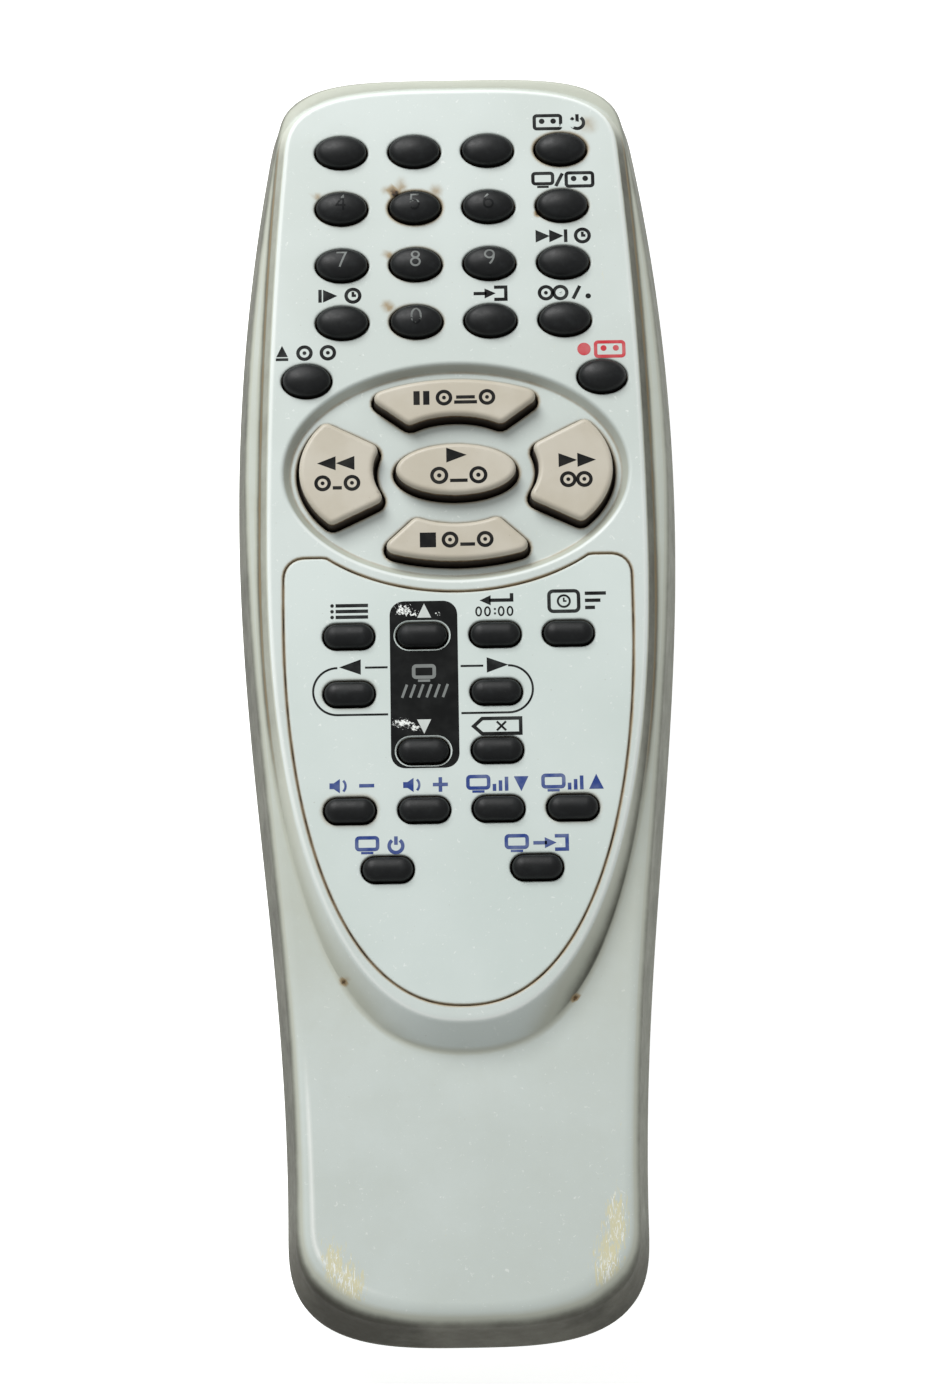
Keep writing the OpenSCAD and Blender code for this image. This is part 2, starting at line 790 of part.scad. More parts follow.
module keypad_mat() color([0.25, 0.27, 0.28]) {
    translate([0, 0, board_top_z])
        linear_extrude(mat_thickness)
            difference() {
                board_shape(board_gap + mat_inset);
                for (p = key_places())
                    translate(p)
                        circle(r = stem_radius + stem_hole_gap);
                for (p = post_places)
                    translate(p)
                        circle(r = pin_radius + 2 * pin_gap);
            }
}

module circuit_board() color([0.55, 0.42, 0.22]) {
    translate([0, 0, board_under_z])
        linear_extrude(board_thickness)
            difference() {
                board_shape(board_gap);
                for (p = post_places)
                    translate(p)
                        circle(r = pin_radius + pin_gap);
            }
}

module contact_pads() color([0.12, 0.12, 0.12]) {
    for (p = key_places())
        translate([p[0], p[1], board_top_z])
            cylinder(r = stem_radius, h = pad_thickness);
}

module controller_chip() color([0.1, 0.1, 0.1]) {
    chip = chip_size;
    pins = 12;
    pin_pitch = 1.27;
    top = board_under_z;
    translate([-chip[0] / 2, dish_y - chip[1] / 2, top - chip[2] - 0.2])
        cube(chip);
    for (side = [-1, 1])
        for (i = [0:pins - 1])
            translate([
                side * (chip[0] / 2 + chip_pin[0] / 2 - 0.2) - chip_pin[0] / 2,
                dish_y + (i - (pins - 1) / 2) * pin_pitch - chip_pin[1] / 2,
                top - chip_pin[2]
            ])
                cube(chip_pin);
}

module resonator() color([0.85, 0.55, 0.2]) {
    translate([resonator_place[0], dish_y + resonator_place[1], board_under_z - resonator_size[2]])
        cube(resonator_size);
}

module capacitor() color([0.15, 0.2, 0.35]) {
    radius = capacitor_diameter / 2;
    translate([capacitor_place[0], dish_y + capacitor_place[1], board_under_z - radius])
        rotate([0, 90, 0])
            cylinder(r = radius, h = capacitor_length);
}

module driver_transistor() color([0.1, 0.1, 0.1]) {
    intersection() {
        translate([transistor_x, number_y + 2, board_under_z - transistor_height])
            cylinder(d = transistor_width, h = transistor_height);
        // The flat side that carries its marking
        translate([transistor_x - transistor_width, number_y + 0.6, board_under_z - transistor_height])
            cube([2 * transistor_width, transistor_width, transistor_height]);
    }
}

module resistors() color([0.78, 0.66, 0.5]) {
    for (i = [0:3])
        translate([
            resistor_place[0] + i * resistor_pitch,
            number_y + resistor_place[1],
            board_under_z - resistor_diameter / 2
        ])
            rotate([90, 0, 0]) {
                cylinder(d = resistor_diameter, h = resistor_length);
                translate([0, 0, -lead_reach])
                    cylinder(d = lead_diameter, h = resistor_length + 2 * lead_reach);
            }
}

module ir_lamp() color([0.55, 0.55, 0.75]) {
    tip_y = front_y - 0.4;
    radius = lamp_diameter / 2;
    body = 6.2;
    flange = 1;
    translate([0, tip_y - radius, lamp_z])
        rotate([90, 0, 0])
            rotate_extrude()
                union() {
                    intersection() {
                        circle(r = radius);
                        translate([0, -radius])
                            square([radius, radius]);
                    }
                    square([radius, body]);
                    translate([0, body - flange])
                        square([radius + 0.2, flange]);
                }
    // Leads, bent up to the board
    for (side = [-1, 1])
        translate([side * 1.27 - 0.25, 0, 0]) {
            translate([0, tip_y - radius - body - 5, lamp_z - 0.25])
                cube([0.5, 5 + 0.2, 0.5]);
            translate([0, tip_y - radius - body - 5, lamp_z - 0.25])
                cube([0.5, 0.5, board_under_z - lamp_z + 0.25]);
        }
}

// One cell with its plus button towards +Y, its base at y = 0
module cell() {
    nub = 1.2;
    rotate([-90, 0, 0]) {
        cylinder(d = cell_diameter, h = cell_length - nub);
        cylinder(d = 5.4, h = cell_length);
    }
}

module battery_cells() color([0.2, 0.35, 0.3]) {
    gap = plate_thickness + 0.1;
    translate([cell_x, bay_front_y - gap - cell_length, cell_z])
        cell();
    translate([-cell_x, bay_tail_y + gap + cell_length, cell_z])
        rotate([0, 0, 180])
            cell();
}

module battery_plates() color([0.8, 0.8, 0.78]) {
    side = 9;
    translate([cell_x - side / 2, bay_front_y - plate_thickness, cell_z - side / 2])
        cube([side, plate_thickness, side]);
    translate([-cell_x - side / 2, bay_tail_y, cell_z - side / 2])
        cube([side, plate_thickness, side]);
}

// A conical spring along +Y, as one unbroken wire
module spring() {
    turns = 3;
    steps = 10;
    wire = 0.4;
    wide = 3.6;
    narrow = 2.2;
    free = spring_length - 2 * wire;
    rings = [for (i = [0:turns * steps])
        let (t = i / (turns * steps),
             a = 360 * turns * t,
             r = wide + (narrow - wide) * t,
             out = [cos(a), 0, sin(a)],
             centre = r * out + [0, wire + free * t, 0])
        [for (j = [0:5]) centre + wire * (cos(60 * j) * out + sin(60 * j) * [0, 1, 0])]];
    loft(rings);
}

module battery_springs() color([0.75, 0.75, 0.75]) {
    translate([cell_x, bay_tail_y, cell_z])
        spring();
    translate([-cell_x, bay_front_y, cell_z])
        rotate([0, 0, 180])
            spring();
}

// ---- Keys ----

// Half profile of a soft key's cap: flat foot, rounded shoulder, slightly domed top
module cap_profile(half, top_z) {
    shoulder = min(soft_key_edge, half * 0.6);
    crown = soft_key_crown;
    foot_z = deck_under_z - key_gap;
    polygon(concat(
        [[0, foot_z], [half, foot_z]],
        [for (a = [0:15:75]) [
            half - shoulder * (1 - cos(a)),
            top_z - crown - shoulder * (1 - sin(a))]],
        [[half - shoulder, top_z - crown], [(half - shoulder) / 2, top_z - crown / 4], [0, top_z]]
    ));
}

module key_stem(top_z) {
    translate([0, 0, stem_z])
        cylinder(r = stem_radius, h = top_z - stem_z);
}

module oval_key(place, length) color([0.2, 0.22, 0.23]) {
    half = oval_width / 2 - key_gap;
    flange_z = deck_under_z - key_gap - flange_thickness;
    at(place) {
        scale([(length / 2 - key_gap) / half, 1, 1])
            rotate_extrude()
                cap_profile(half, deck_z + oval_height);
        key_stem(flange_z + overcut);
    }
    // The flange stops short of the deck's hollow
    intersection() {
        at(place)
            translate([0, 0, flange_z])
                linear_extrude(flange_thickness)
                    oval_shape(length + 2 * flange_rim, oval_width + 2 * flange_rim);
        prism(deck_hollow_outline(key_gap), flange_z - 1, flange_z + flange_thickness + 1);
    }
}

module pill_key(place) color([0.18, 0.2, 0.2]) {
    half = pill_width / 2 - key_gap;
    reach = (pill_length - pill_width) / 2;
    flange_z = deck_under_z - key_gap - flange_thickness;
    at(place) {
        for (side = [-1, 1])
            translate([side * reach, 0, 0])
                rotate([0, 0, side * 90 + 180])
                    rotate_extrude(angle = 180)
                        cap_profile(half, deck_z + pill_height);
        rotate([90, 0, 90])
            translate([0, 0, -reach])
                linear_extrude(2 * reach)
                    for (side = [0, 1])
                        mirror([side, 0])
                            cap_profile(half, deck_z + pill_height);
        translate([0, 0, flange_z])
            linear_extrude(flange_thickness)
                pill_shape(pill_length + 2 * flange_rim, pill_width + 2 * flange_rim);
        key_stem(flange_z + overcut);
    }
}

// Hard key from an outline: straight foot, then an edge rounded in three steps
module hard_key(outline, centre) color([0.80, 0.77, 0.71]) {
    top_z = dish_z + transport_height;
    foot_z = dish_under_z - key_gap;
    loft(concat(
        [level(outline, foot_z - hard_flange_thickness / 2)],
        [for (a = [0:30:90]) level(
            inset_outline(outline, hard_key_draft + hard_key_edge * (1 - cos(a))),
            top_z - hard_key_edge * (1 - sin(a)))]
    ));
    prism(inset_outline(outline, -flange_rim), foot_z - hard_flange_thickness, foot_z);
    at(centre)
        key_stem(foot_z - hard_flange_thickness + overcut);
}

module play_key() {
    hard_key(oval(play_length, play_width, 36, [0, dish_y]), [0, dish_y]);
}

top_case();
insert_panel();
bottom_case();
battery_door();
case_screw();
keypad_mat();
circuit_board();
contact_pads();
controller_chip();
resonator();
capacitor();
driver_transistor();
resistors();
ir_lamp();
battery_cells();
battery_springs();
battery_plates();
for (k = OVAL_KEYS)
    oval_key(k[1], k[2]);
for (k = PILL_KEYS)
    pill_key(k[1]);
for (k = RING_KEYS)
    hard_key(ring_key_outline(k[1], k[2]), ring_key_centre(k));
play_key();
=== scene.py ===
from functools import reduce
from math import acos, asin, ceil, cos, degrees, pi, radians, sin, tan

import bmesh
import bpy
import numpy as np
from mathutils import Matrix, Vector
from mathutils.geometry import delaunay_2d_cdt, tessellate_polygon
from mathutils.kdtree import KDTree


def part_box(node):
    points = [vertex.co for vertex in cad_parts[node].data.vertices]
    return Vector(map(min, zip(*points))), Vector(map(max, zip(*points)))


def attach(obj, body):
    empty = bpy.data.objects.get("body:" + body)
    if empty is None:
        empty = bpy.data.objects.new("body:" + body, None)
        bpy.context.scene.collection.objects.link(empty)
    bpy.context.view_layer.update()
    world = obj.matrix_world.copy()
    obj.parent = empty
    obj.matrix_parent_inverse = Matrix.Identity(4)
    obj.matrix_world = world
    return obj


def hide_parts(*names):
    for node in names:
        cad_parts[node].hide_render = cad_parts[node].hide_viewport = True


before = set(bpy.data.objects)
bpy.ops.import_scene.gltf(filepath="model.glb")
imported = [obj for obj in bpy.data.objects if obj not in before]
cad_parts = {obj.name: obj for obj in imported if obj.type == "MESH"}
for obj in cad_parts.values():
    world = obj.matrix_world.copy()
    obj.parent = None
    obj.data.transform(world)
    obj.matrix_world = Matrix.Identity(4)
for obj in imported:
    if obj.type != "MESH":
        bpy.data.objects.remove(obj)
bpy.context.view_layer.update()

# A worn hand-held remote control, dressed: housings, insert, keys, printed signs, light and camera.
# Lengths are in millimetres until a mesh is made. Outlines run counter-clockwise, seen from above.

MM = 0.001
HOUSING = "housing"


def node_box(node):
    low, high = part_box(node)
    return np.array(low) / MM, np.array(high) / MM


def node_middle(node):
    low, high = node_box(node)
    return (low + high) / 2


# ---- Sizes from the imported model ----

TOP_LOW, TOP_HIGH = node_box("top_case")
TAIL_Y, FRONT_Y = TOP_LOW[1], TOP_HIGH[1]
BODY_LENGTH = FRONT_Y - TAIL_Y
DECK_Z = TOP_HIGH[2]
PARTING_Z = TOP_LOW[2]
DISH_Y = node_middle("play_key")[1]
OUTER_OVAL_Y = node_middle("eject_key")[1]
INSERT_UNDER_Z = node_box("insert_panel")[0][2]
OVAL_TOP_Z = node_box("key_1")[1][2]
PILL_TOP_Z = node_box("menu_key")[1][2]
HARD_TOP_Z = node_box("play_key")[1][2]
STEM_Z = node_box("key_1")[0][2]
HARD_STEM_Z = node_box("play_key")[0][2]

# ---- Sizes of the forms ----

BODY_WIDTH = 64.4
TAIL_WIDTH = 50.2
FRONT_WIDTH = 55.6
FRONT_ROUND = 12
TAIL_ROUND = 16
FRONT_POWER = 4.2
TAIL_POWER = 3.1
SHOULDER_FRONT_Z = 21.6
SHOULDER_TAIL_Z = 19.8
SIDE_DRAFT = 1.4
FRONT_DRAFT = 2.3
TAIL_DRAFT = 2
SHOULDER_ROUND = 1.7
TAIL_SHOULDER_ROUND = 3.2
BELLY_WIDTH = 6.5
BELLY_HEIGHT = 6
WALL = 2.2
SEAM = 0.25

DECK_WALL = 2.4
DECK_WIDTH = 53.8
DECK_FRONT_WIDTH = 46.8
DECK_FRONT_GAP = 5.9
DECK_SLOPE = 1.5
COLLAR_SLOPE = 3.8
COLLAR_MARGIN = 2
DECK_WIDE_DROP = 8.6
DECK_FRONT_CORNER = 10
DECK_FRONT_POWER = 3.2
DECK_TIP_POWER = 2.3

OVAL_LENGTH = 8
OVAL_WIDTH = 5.4
OUTER_OVAL_LENGTH = 7.5
OUTER_OVAL_X = 21.4

DISH_LENGTH = 50
DISH_WIDTH = 33
DISH_SLOPE = 1.1
DISH_DEPTH = 1.4
DISH_FLOOR = 1.8
RING_LENGTH = 45.4
RING_WIDTH = 27.8
RING_INNER_LENGTH = 23.4
RING_INNER_WIDTH = 15.9
RING_KEY_CORNER = 1.3
PLAY_LENGTH = 17.6
PLAY_WIDTH = 8.1

INSERT_DROP = 19.6
INSERT_WIDTH = 49.8
INSERT_LENGTH = 57.8
INSERT_RIM_GAP = 1.5
INSERT_CORNER_DROP = 12.7
INSERT_CORNER = 3
INSERT_POWER = 2.25
INSERT_GAP = 0.2
PILL_LENGTH = 7.6
PILL_WIDTH = 4

KEY_GAP = 0.3
KEY_FLANGE = 0.8
SOFT_FLANGE_THICKNESS = 1
HARD_FLANGE_THICKNESS = 0.7
FLANGE_CLIP = 1.6
STEM_RADIUS = 1.7
SOFT_EDGE = 1.1
SOFT_TURN = radians(66)
HARD_EDGE = 0.7
HARD_DRAFT = 0.2

LAMP_Z = 12.8
LAMP_BORE = 5.3

# Derived places
DECK_FRONT_Y = FRONT_Y - DECK_FRONT_GAP
DECK_WIDE_Y = DISH_Y - DECK_WIDE_DROP
INSERT_Y = DISH_Y - INSERT_DROP
DECK_TIP_Y = INSERT_Y - INSERT_LENGTH - COLLAR_MARGIN
DECK_UNDER_Z = DECK_Z - DECK_WALL
DISH_Z = DECK_Z - DISH_DEPTH
DISH_UNDER_Z = DISH_Z - DISH_FLOOR

# Finish of the forms: roundings that the mould has, and how finely the surface is laid out
HOLE_EDGE = 0.28
INSERT_EDGE = 0.22
GROOVE_DEPTH = 0.3
LIP_SOFTNESS = 0.5
FOOT_SOFTNESS = 0.2
RIM_SOFTNESS = 0.3
OUTLINE_SPACING = 0.9
GRID_SPACING = 1.5
PRINT_HEIGHT = 0.02
PRINT_SHARP = 30
CYLINDER_SIDES = 64
WELD_REACH = 0.002

# ---- Outlines ----


def rounded_end(half, corner_y, reach, power, angles):
    """The right half of an outline's end, a superellipse whose half width at y is given."""
    points = []
    for angle in angles:
        y = corner_y + reach * sin(angle) ** (2 / power)
        points.append((half(y) * abs(cos(angle)) ** (2 / power), y))
    return points


def closed_outline(half, tail, front):
    """An outline symmetric about x = 0, from its half width at y. An end is (y, corner y, exponent)."""
    steps = 200
    tail_y, tail_corner, tail_power = tail
    front_y, front_corner, front_power = front
    from_tip, to_tip = np.linspace(pi / 2, 0, steps), np.linspace(0, pi / 2, steps)
    right = rounded_end(half, tail_corner, tail_y - tail_corner, tail_power, from_tip)
    right += [(half(y), y) for y in np.linspace(tail_corner, front_corner, steps)[1:-1]]
    right += rounded_end(half, front_corner, front_y - front_corner, front_power, to_tip)
    left = [(-x, y) for x, y in right[-2:0:-1]]
    return np.array(right + left)


def spread(outline, spacing=None, count=None):
    """The same closed outline with evenly spaced points."""
    step = np.linalg.norm(np.roll(outline, -1, axis=0) - outline, axis=1)
    along = np.concatenate([[0], np.cumsum(step)])
    count = count or max(16, round(along[-1] / spacing))
    places = np.linspace(0, along[-1], count, endpoint=False)
    closed = np.vstack([outline, outline[:1]])
    return np.column_stack([np.interp(places, along, closed[:, axis]) for axis in (0, 1)])


def outwards(outline):
    """The outward direction at each point of an outline."""
    along = np.roll(outline, -1, axis=0) - np.roll(outline, 1, axis=0)
    along /= np.linalg.norm(along, axis=1)[:, None]
    return np.column_stack([along[:, 1], -along[:, 0]])


def offset(outline, distance):
    """An outline moved outwards, or inwards where the distance is negative."""
    return outline + np.reshape(distance, (-1, 1)) * outwards(outline)


def body_half(y):
    wide = BODY_WIDTH / 2
    tail = TAIL_WIDTH / 2
    if y < DISH_Y:
        back = min(1, (DISH_Y - y) / (DISH_Y - TAIL_Y - TAIL_ROUND))
        return tail + (wide - tail) * (1 + cos(pi * back)) / 2
    ahead = (y - DISH_Y) / (FRONT_Y - FRONT_ROUND - DISH_Y)
    return wide - (wide - FRONT_WIDTH / 2) * ahead ** 2


def body_outline(inset):
    return closed_outline(
        lambda y: body_half(y) - inset,
        (TAIL_Y + inset, TAIL_Y + TAIL_ROUND, TAIL_POWER),
        (FRONT_Y - inset, FRONT_Y - FRONT_ROUND, FRONT_POWER),
    )


def deck_half(y):
    ahead = max(0, (y - DECK_WIDE_Y) / (DECK_FRONT_Y - DECK_WIDE_Y))
    return DECK_WIDTH / 2 - (DECK_WIDTH - DECK_FRONT_WIDTH) / 2 * ahead ** 2


def on_oval(length, width, centre, angles):
    """Points of an oval at angles in radians."""
    return np.array(centre) + np.column_stack([length / 2 * np.cos(angles), width / 2 * np.sin(angles)])


def oval(length, width, centre, count):
    return on_oval(length, width, centre, np.linspace(0, 2 * pi, count, endpoint=False))


def arc(length, width, start, stop, steps, centre=(0, 0)):
    """Points of an oval between two angles in degrees."""
    return on_oval(length, width, centre, np.radians(np.linspace(start, stop, steps + 1)))


def pill(length, width, centre, steps=14):
    reach = (length - width) / 2
    right = arc(width, width, -90, 90, steps, (centre[0] + reach, centre[1]))
    left = arc(width, width, 90, 270, steps, (centre[0] - reach, centre[1]))
    return np.vstack([right, left])


def rounded_box(low, high, radius, steps=6):
    left, bottom = low[0] + radius, low[1] + radius
    right, top = high[0] - radius, high[1] - radius
    corners = [(right, bottom, -90), (right, top, 0), (left, top, 90), (left, bottom, 180)]
    return np.vstack([
        arc(2 * radius, 2 * radius, start, start + 90, steps, (x, y)) for x, y, start in corners
    ])


def unit(vector):
    return vector / np.linalg.norm(vector)


def rounded_corner(before, corner, after, radius, steps=7):
    """An arc in place of the corner between two neighbours."""
    before, corner, after = (np.array(p, float) for p in (before, corner, after))
    u, v = unit(before - corner), unit(after - corner)
    half_angle = acos(np.clip(u @ v, -1, 1)) / 2
    centre = corner + unit(u + v) * radius / sin(half_angle)
    start = corner + u * radius / tan(half_angle) - centre
    stop = corner + v * radius / tan(half_angle) - centre
    turn = acos(np.clip(unit(start) @ unit(stop), -1, 1))
    return np.array([
        centre + (sin((1 - t) * turn) * start + sin(t * turn) * stop) / sin(turn)
        for t in np.linspace(0, 1, steps)
    ])


def ring_key_outline(outer, inner):
    """A key in the ring, between angles on the outer and on the inner oval."""
    steps = 26
    far = arc(RING_LENGTH, RING_WIDTH, *outer, steps, (0, DISH_Y))
    near = arc(RING_INNER_LENGTH, RING_INNER_WIDTH, inner[1], inner[0], steps, (0, DISH_Y))
    corner = RING_KEY_CORNER
    # The arcs stay clear of the rounded corners
    ends = [
        rounded_corner(near[-1], far[0], far[3], corner),
        far[3:-3],
        rounded_corner(far[-4], far[-1], near[0], corner),
        rounded_corner(far[-1], near[0], near[4], corner),
        near[4:-4],
        rounded_corner(near[-5], near[-1], far[0], corner),
    ]
    return spread(np.vstack(ends), count=96)


def ring_key_centre(start, stop):
    """Where a ring key's stem stands, from its angles on the outer oval."""
    middle = radians((start + stop) / 2)
    across = (RING_LENGTH + RING_INNER_LENGTH) / 4
    along = (RING_WIDTH + RING_INNER_WIDTH) / 4
    return np.array([across * cos(middle), DISH_Y + along * sin(middle)])


def insert_outline():
    """A shield whose upper edge follows the dish."""
    half = INSERT_WIDTH / 2
    corner_y = DISH_Y - INSERT_CORNER_DROP
    arc_length = DISH_LENGTH + 2 * INSERT_RIM_GAP
    arc_width = DISH_WIDTH + 2 * INSERT_RIM_GAP
    arc_angle = degrees(asin(INSERT_CORNER_DROP / (arc_width / 2)))
    from_tip = np.linspace(pi / 2, 0, 90)
    tip = rounded_end(lambda y: half, INSERT_Y, -INSERT_LENGTH, INSERT_POWER, from_tip)
    corner = rounded_corner((half, INSERT_Y), (half, corner_y), (0, corner_y), INSERT_CORNER)
    edge = arc(arc_length, arc_width, -arc_angle, -90, 40, (0, DISH_Y))
    right = np.vstack([tip, corner, edge])
    left = right[-2:0:-1] * (-1, 1)
    return np.vstack([right, left])


def shoulder_radius(y):
    """Radius of the edge between wall and shoulder, which grows near the tail."""
    back = np.clip((DISH_Y - y) / (DISH_Y - TAIL_Y), 0, 1)
    return SHOULDER_ROUND + (TAIL_SHOULDER_ROUND - SHOULDER_ROUND) * back ** 5


BODY = spread(body_outline(0), OUTLINE_SPACING)
# How far the wall leans in and how wide its rounded edge is, across each point of the outline
FACING = np.abs(outwards(BODY))
AT_FRONT = BODY[:, 1] > DISH_Y
END_DRAFT = np.where(AT_FRONT, FRONT_DRAFT, TAIL_DRAFT)
END_ROUND = np.where(AT_FRONT, SHOULDER_ROUND, TAIL_SHOULDER_ROUND)
LEAN = FACING[:, 0] * SIDE_DRAFT + FACING[:, 1] * END_DRAFT
TURN = FACING[:, 0] * shoulder_radius(BODY[:, 1]) + FACING[:, 1] * END_ROUND
DECK = spread(closed_outline(
    deck_half,
    (DECK_TIP_Y, DECK_WIDE_Y, DECK_TIP_POWER),
    (DECK_FRONT_Y, DECK_FRONT_Y - DECK_FRONT_CORNER, DECK_FRONT_POWER),
), OUTLINE_SPACING)
DISH_RIM = spread(oval(DISH_LENGTH, DISH_WIDTH, (0, DISH_Y), 240), 0.8)
INSERT = spread(insert_outline(), 0.7)

# ---- Keys: name, and the centre of the opening ----

OVAL_KEYS = [
    "key_1", "key_2", "key_3", "power_key",
    "key_4", "key_5", "key_6", "tv_vcr_key",
    "key_7", "key_8", "key_9", "skip_key",
    "slow_key", "key_0", "input_key", "speed_key",
]
OUTER_OVAL_KEYS = {"eject_key": -OUTER_OVAL_X, "record_key": OUTER_OVAL_X}
PILL_KEYS = [
    "menu_key", "channel_up_key", "enter_key", "timer_key", "left_key", "right_key",
    "channel_down_key", "clear_key", "volume_down_key", "volume_up_key",
    "tv_channel_down_key", "tv_channel_up_key", "tv_power_key", "tv_input_key",
]
RING_KEYS = {
    "pause_key": ((54.3, 125.7), (55, 125)),
    "rewind_key": ((146.1, 217.5), (153.8, 214)),
    "stop_key": ((239.6, 300.4), (239.4, 300.6)),
    "fast_forward_key": ((322.5, 393.9), (326, 386.2)),
}
PLACE = {name: node_middle(name)[:2] for name in OVAL_KEYS + PILL_KEYS + ["play_key"]}
PLACE.update({name: np.array([x, OUTER_OVAL_Y]) for name, x in OUTER_OVAL_KEYS.items()})

OVAL_POINTS = 56
OVAL_LENGTHS = dict.fromkeys(OVAL_KEYS, OVAL_LENGTH) | dict.fromkeys(OUTER_OVAL_KEYS, OUTER_OVAL_LENGTH)
OVAL_HOLES = {
    name: oval(length, OVAL_WIDTH, PLACE[name], OVAL_POINTS) for name, length in OVAL_LENGTHS.items()
}
PILL_HOLES = {name: pill(PILL_LENGTH, PILL_WIDTH, PLACE[name]) for name in PILL_KEYS}
HARD_SHAPES = {name: ring_key_outline(*angles) for name, angles in RING_KEYS.items()}
HARD_CENTRES = {name: ring_key_centre(*outer) for name, (outer, inner) in RING_KEYS.items()}
HARD_SHAPES["play_key"] = oval(PLAY_LENGTH, PLAY_WIDTH, PLACE["play_key"], 96)
HARD_CENTRES["play_key"] = PLACE["play_key"]
HARD_HOLES = {name: offset(shape, KEY_GAP) for name, shape in HARD_SHAPES.items()}

# ---- Measuring and meshing ----


def depth(points, outline, *values):
    """How far points lie inside an outline, and the outline's values nearest to them."""
    count = len(outline)
    tree = KDTree(count)
    for row, (x, y) in enumerate(outline.tolist()):
        tree.insert((x, y, 0), row)
    tree.balance()
    corner = np.array([tree.find((x, y, 0))[1] for x, y in points.tolist()])
    side = np.roll(outline, -1, axis=0) - outline
    tries = []
    # The nearest point lies on one of the two sides that meet at the nearest corner
    for first in ((corner - 1) % count, corner):
        away = points - outline[first]
        t = np.clip((away * side[first]).sum(1) / (side[first] ** 2).sum(1), 0, 1)
        gap = away - t[:, None] * side[first]
        cross = side[first, 0] * away[:, 1] - side[first, 1] * away[:, 0]
        tries.append([np.hypot(gap[:, 0], gap[:, 1]), np.where(cross >= 0, 1, -1)]
                     + [value[first] * (1 - t) + np.roll(value, -1)[first] * t for value in values])
    closer = tries[0][0] <= tries[1][0]
    far, sign, *found = (np.where(closer, a, b) for a, b in zip(*tries))
    return (sign * far, *found) if values else sign * far


def clearance(points, outlines, reach=4):
    """Distance of points outside each of several small outlines, worked out only near them."""
    result = np.full((len(outlines), len(points)), float(reach))
    for row, outline in enumerate(outlines):
        near = np.all((points > outline.min(0) - reach) & (points < outline.max(0) + reach), axis=1)
        if near.any():
            result[row, near] = -depth(points[near], outline)
    return result


def soft_max(a, b, softness):
    return np.maximum(a, b) + np.maximum(softness - np.abs(a - b), 0) ** 2 / (4 * softness)


def soft_min(a, b, softness):
    return -soft_max(-a, -b, softness)


def smooth_step(value, low, high):
    t = np.clip((value - low) / (high - low), 0, 1)
    return t * t * (3 - 2 * t)


def bell(distance, width):
    return np.exp(-(distance / width) ** 2)


def most(values):
    """The greatest of several measures, point by point."""
    return reduce(np.maximum, values)


def patches(points, rows, least=0.0):
    """Soft oval patches over an even least strength, each (x, y, strength, half width, half length)."""
    spots = [
        strength * bell(np.hypot((points[:, 0] - x) / across, (points[:, 1] - y) / along), 1)
        for x, y, strength, across, along in rows
    ]
    return most([least, *spots])


def edge_drop(distance, radius):
    """How far a rounded edge falls at a distance from the hole that it rings."""
    t = np.clip(distance, 0, radius)
    return radius - np.sqrt(radius ** 2 - (radius - t) ** 2)


def edge_steps(radius, steps=4):
    return [radius * (1 - cos(radians(90 * i / steps))) for i in range(steps + 1)]


def triangulate(outline, holes, rings, loose):
    """Triangles over rings of edges and loose points, inside an outline and outside its holes."""
    points, edges = [], []
    for ring in rings:
        first = len(points)
        points.extend(map(tuple, ring))
        edges.extend((first + i, first + (i + 1) % len(ring)) for i in range(len(ring)))
    points.extend(map(tuple, loose))
    made = delaunay_2d_cdt([Vector(p) for p in points], edges, [], 0, 1e-6)
    flat = np.array([tuple(v) for v in made[0]])
    faces = np.array([tuple(f) for f in made[2] if len(f) == 3])
    middles = flat[faces].mean(axis=1)
    return flat, faces[(depth(middles, outline) > 0) & (clearance(middles, holes).min(0) > 0)]


def grid(outline, spacing):
    """Points of a triangular grid over an outline's box."""
    low, high = outline.min(0), outline.max(0)
    points = []
    for row, y in enumerate(np.arange(low[1], high[1], spacing * 0.866)):
        for x in np.arange(low[0] + spacing * (row % 2) / 2, high[0], spacing):
            points.append((x, y))
    return np.array(points)


def loose_points(outline, holes, spacing, margin):
    """Points of a grid inside an outline that stay clear of it and of its holes."""
    points = grid(outline, spacing)
    return points[(depth(points, outline) > margin) & (clearance(points, holes).min(0) > margin)]


def level(z):
    """A height that is the same everywhere."""
    return lambda flat: np.full(len(flat), float(z))


def lifted(outline, height):
    """An outline in space, where height is a number or a function of the flat points."""
    height = height if callable(height) else level(height)
    return np.column_stack([outline, height(outline)])


def plate(name, outline, holes, rings, loose, top, under):
    """A mesh between two heights over the same triangles, with walls round every hole."""
    flat, faces = triangulate(outline, holes, rings, loose)
    used = np.unique(faces)
    index = np.full(len(flat), -1)
    index[used] = np.arange(len(used))
    flat, faces = flat[used], index[faces]
    count = len(flat)
    directed = {(a, b) for face in faces for a, b in zip(face, np.roll(face, -1))}
    walls = [(a, a + count, b + count, b) for a, b in directed if (b, a) not in directed]
    made = [tuple(face) for face in faces]
    made += [(a + count, c + count, b + count) for a, b, c in faces]
    return as_mesh(name, (np.vstack([lifted(flat, top), lifted(flat, under)]), made + sorted(walls)))


def lid(ring):
    """Triangles that fill a ring, wound as the ring is seen from above."""
    made = []
    for a, b, c in tessellate_polygon([[Vector(p) for p in ring]]):
        (ax, ay), (bx, by), (cx, cy) = ring[a][:2], ring[b][:2], ring[c][:2]
        turns_left = (bx - ax) * (cy - ay) - (by - ay) * (cx - ax) > 0
        made.append((a, b, c) if turns_left else (a, c, b))
    return made


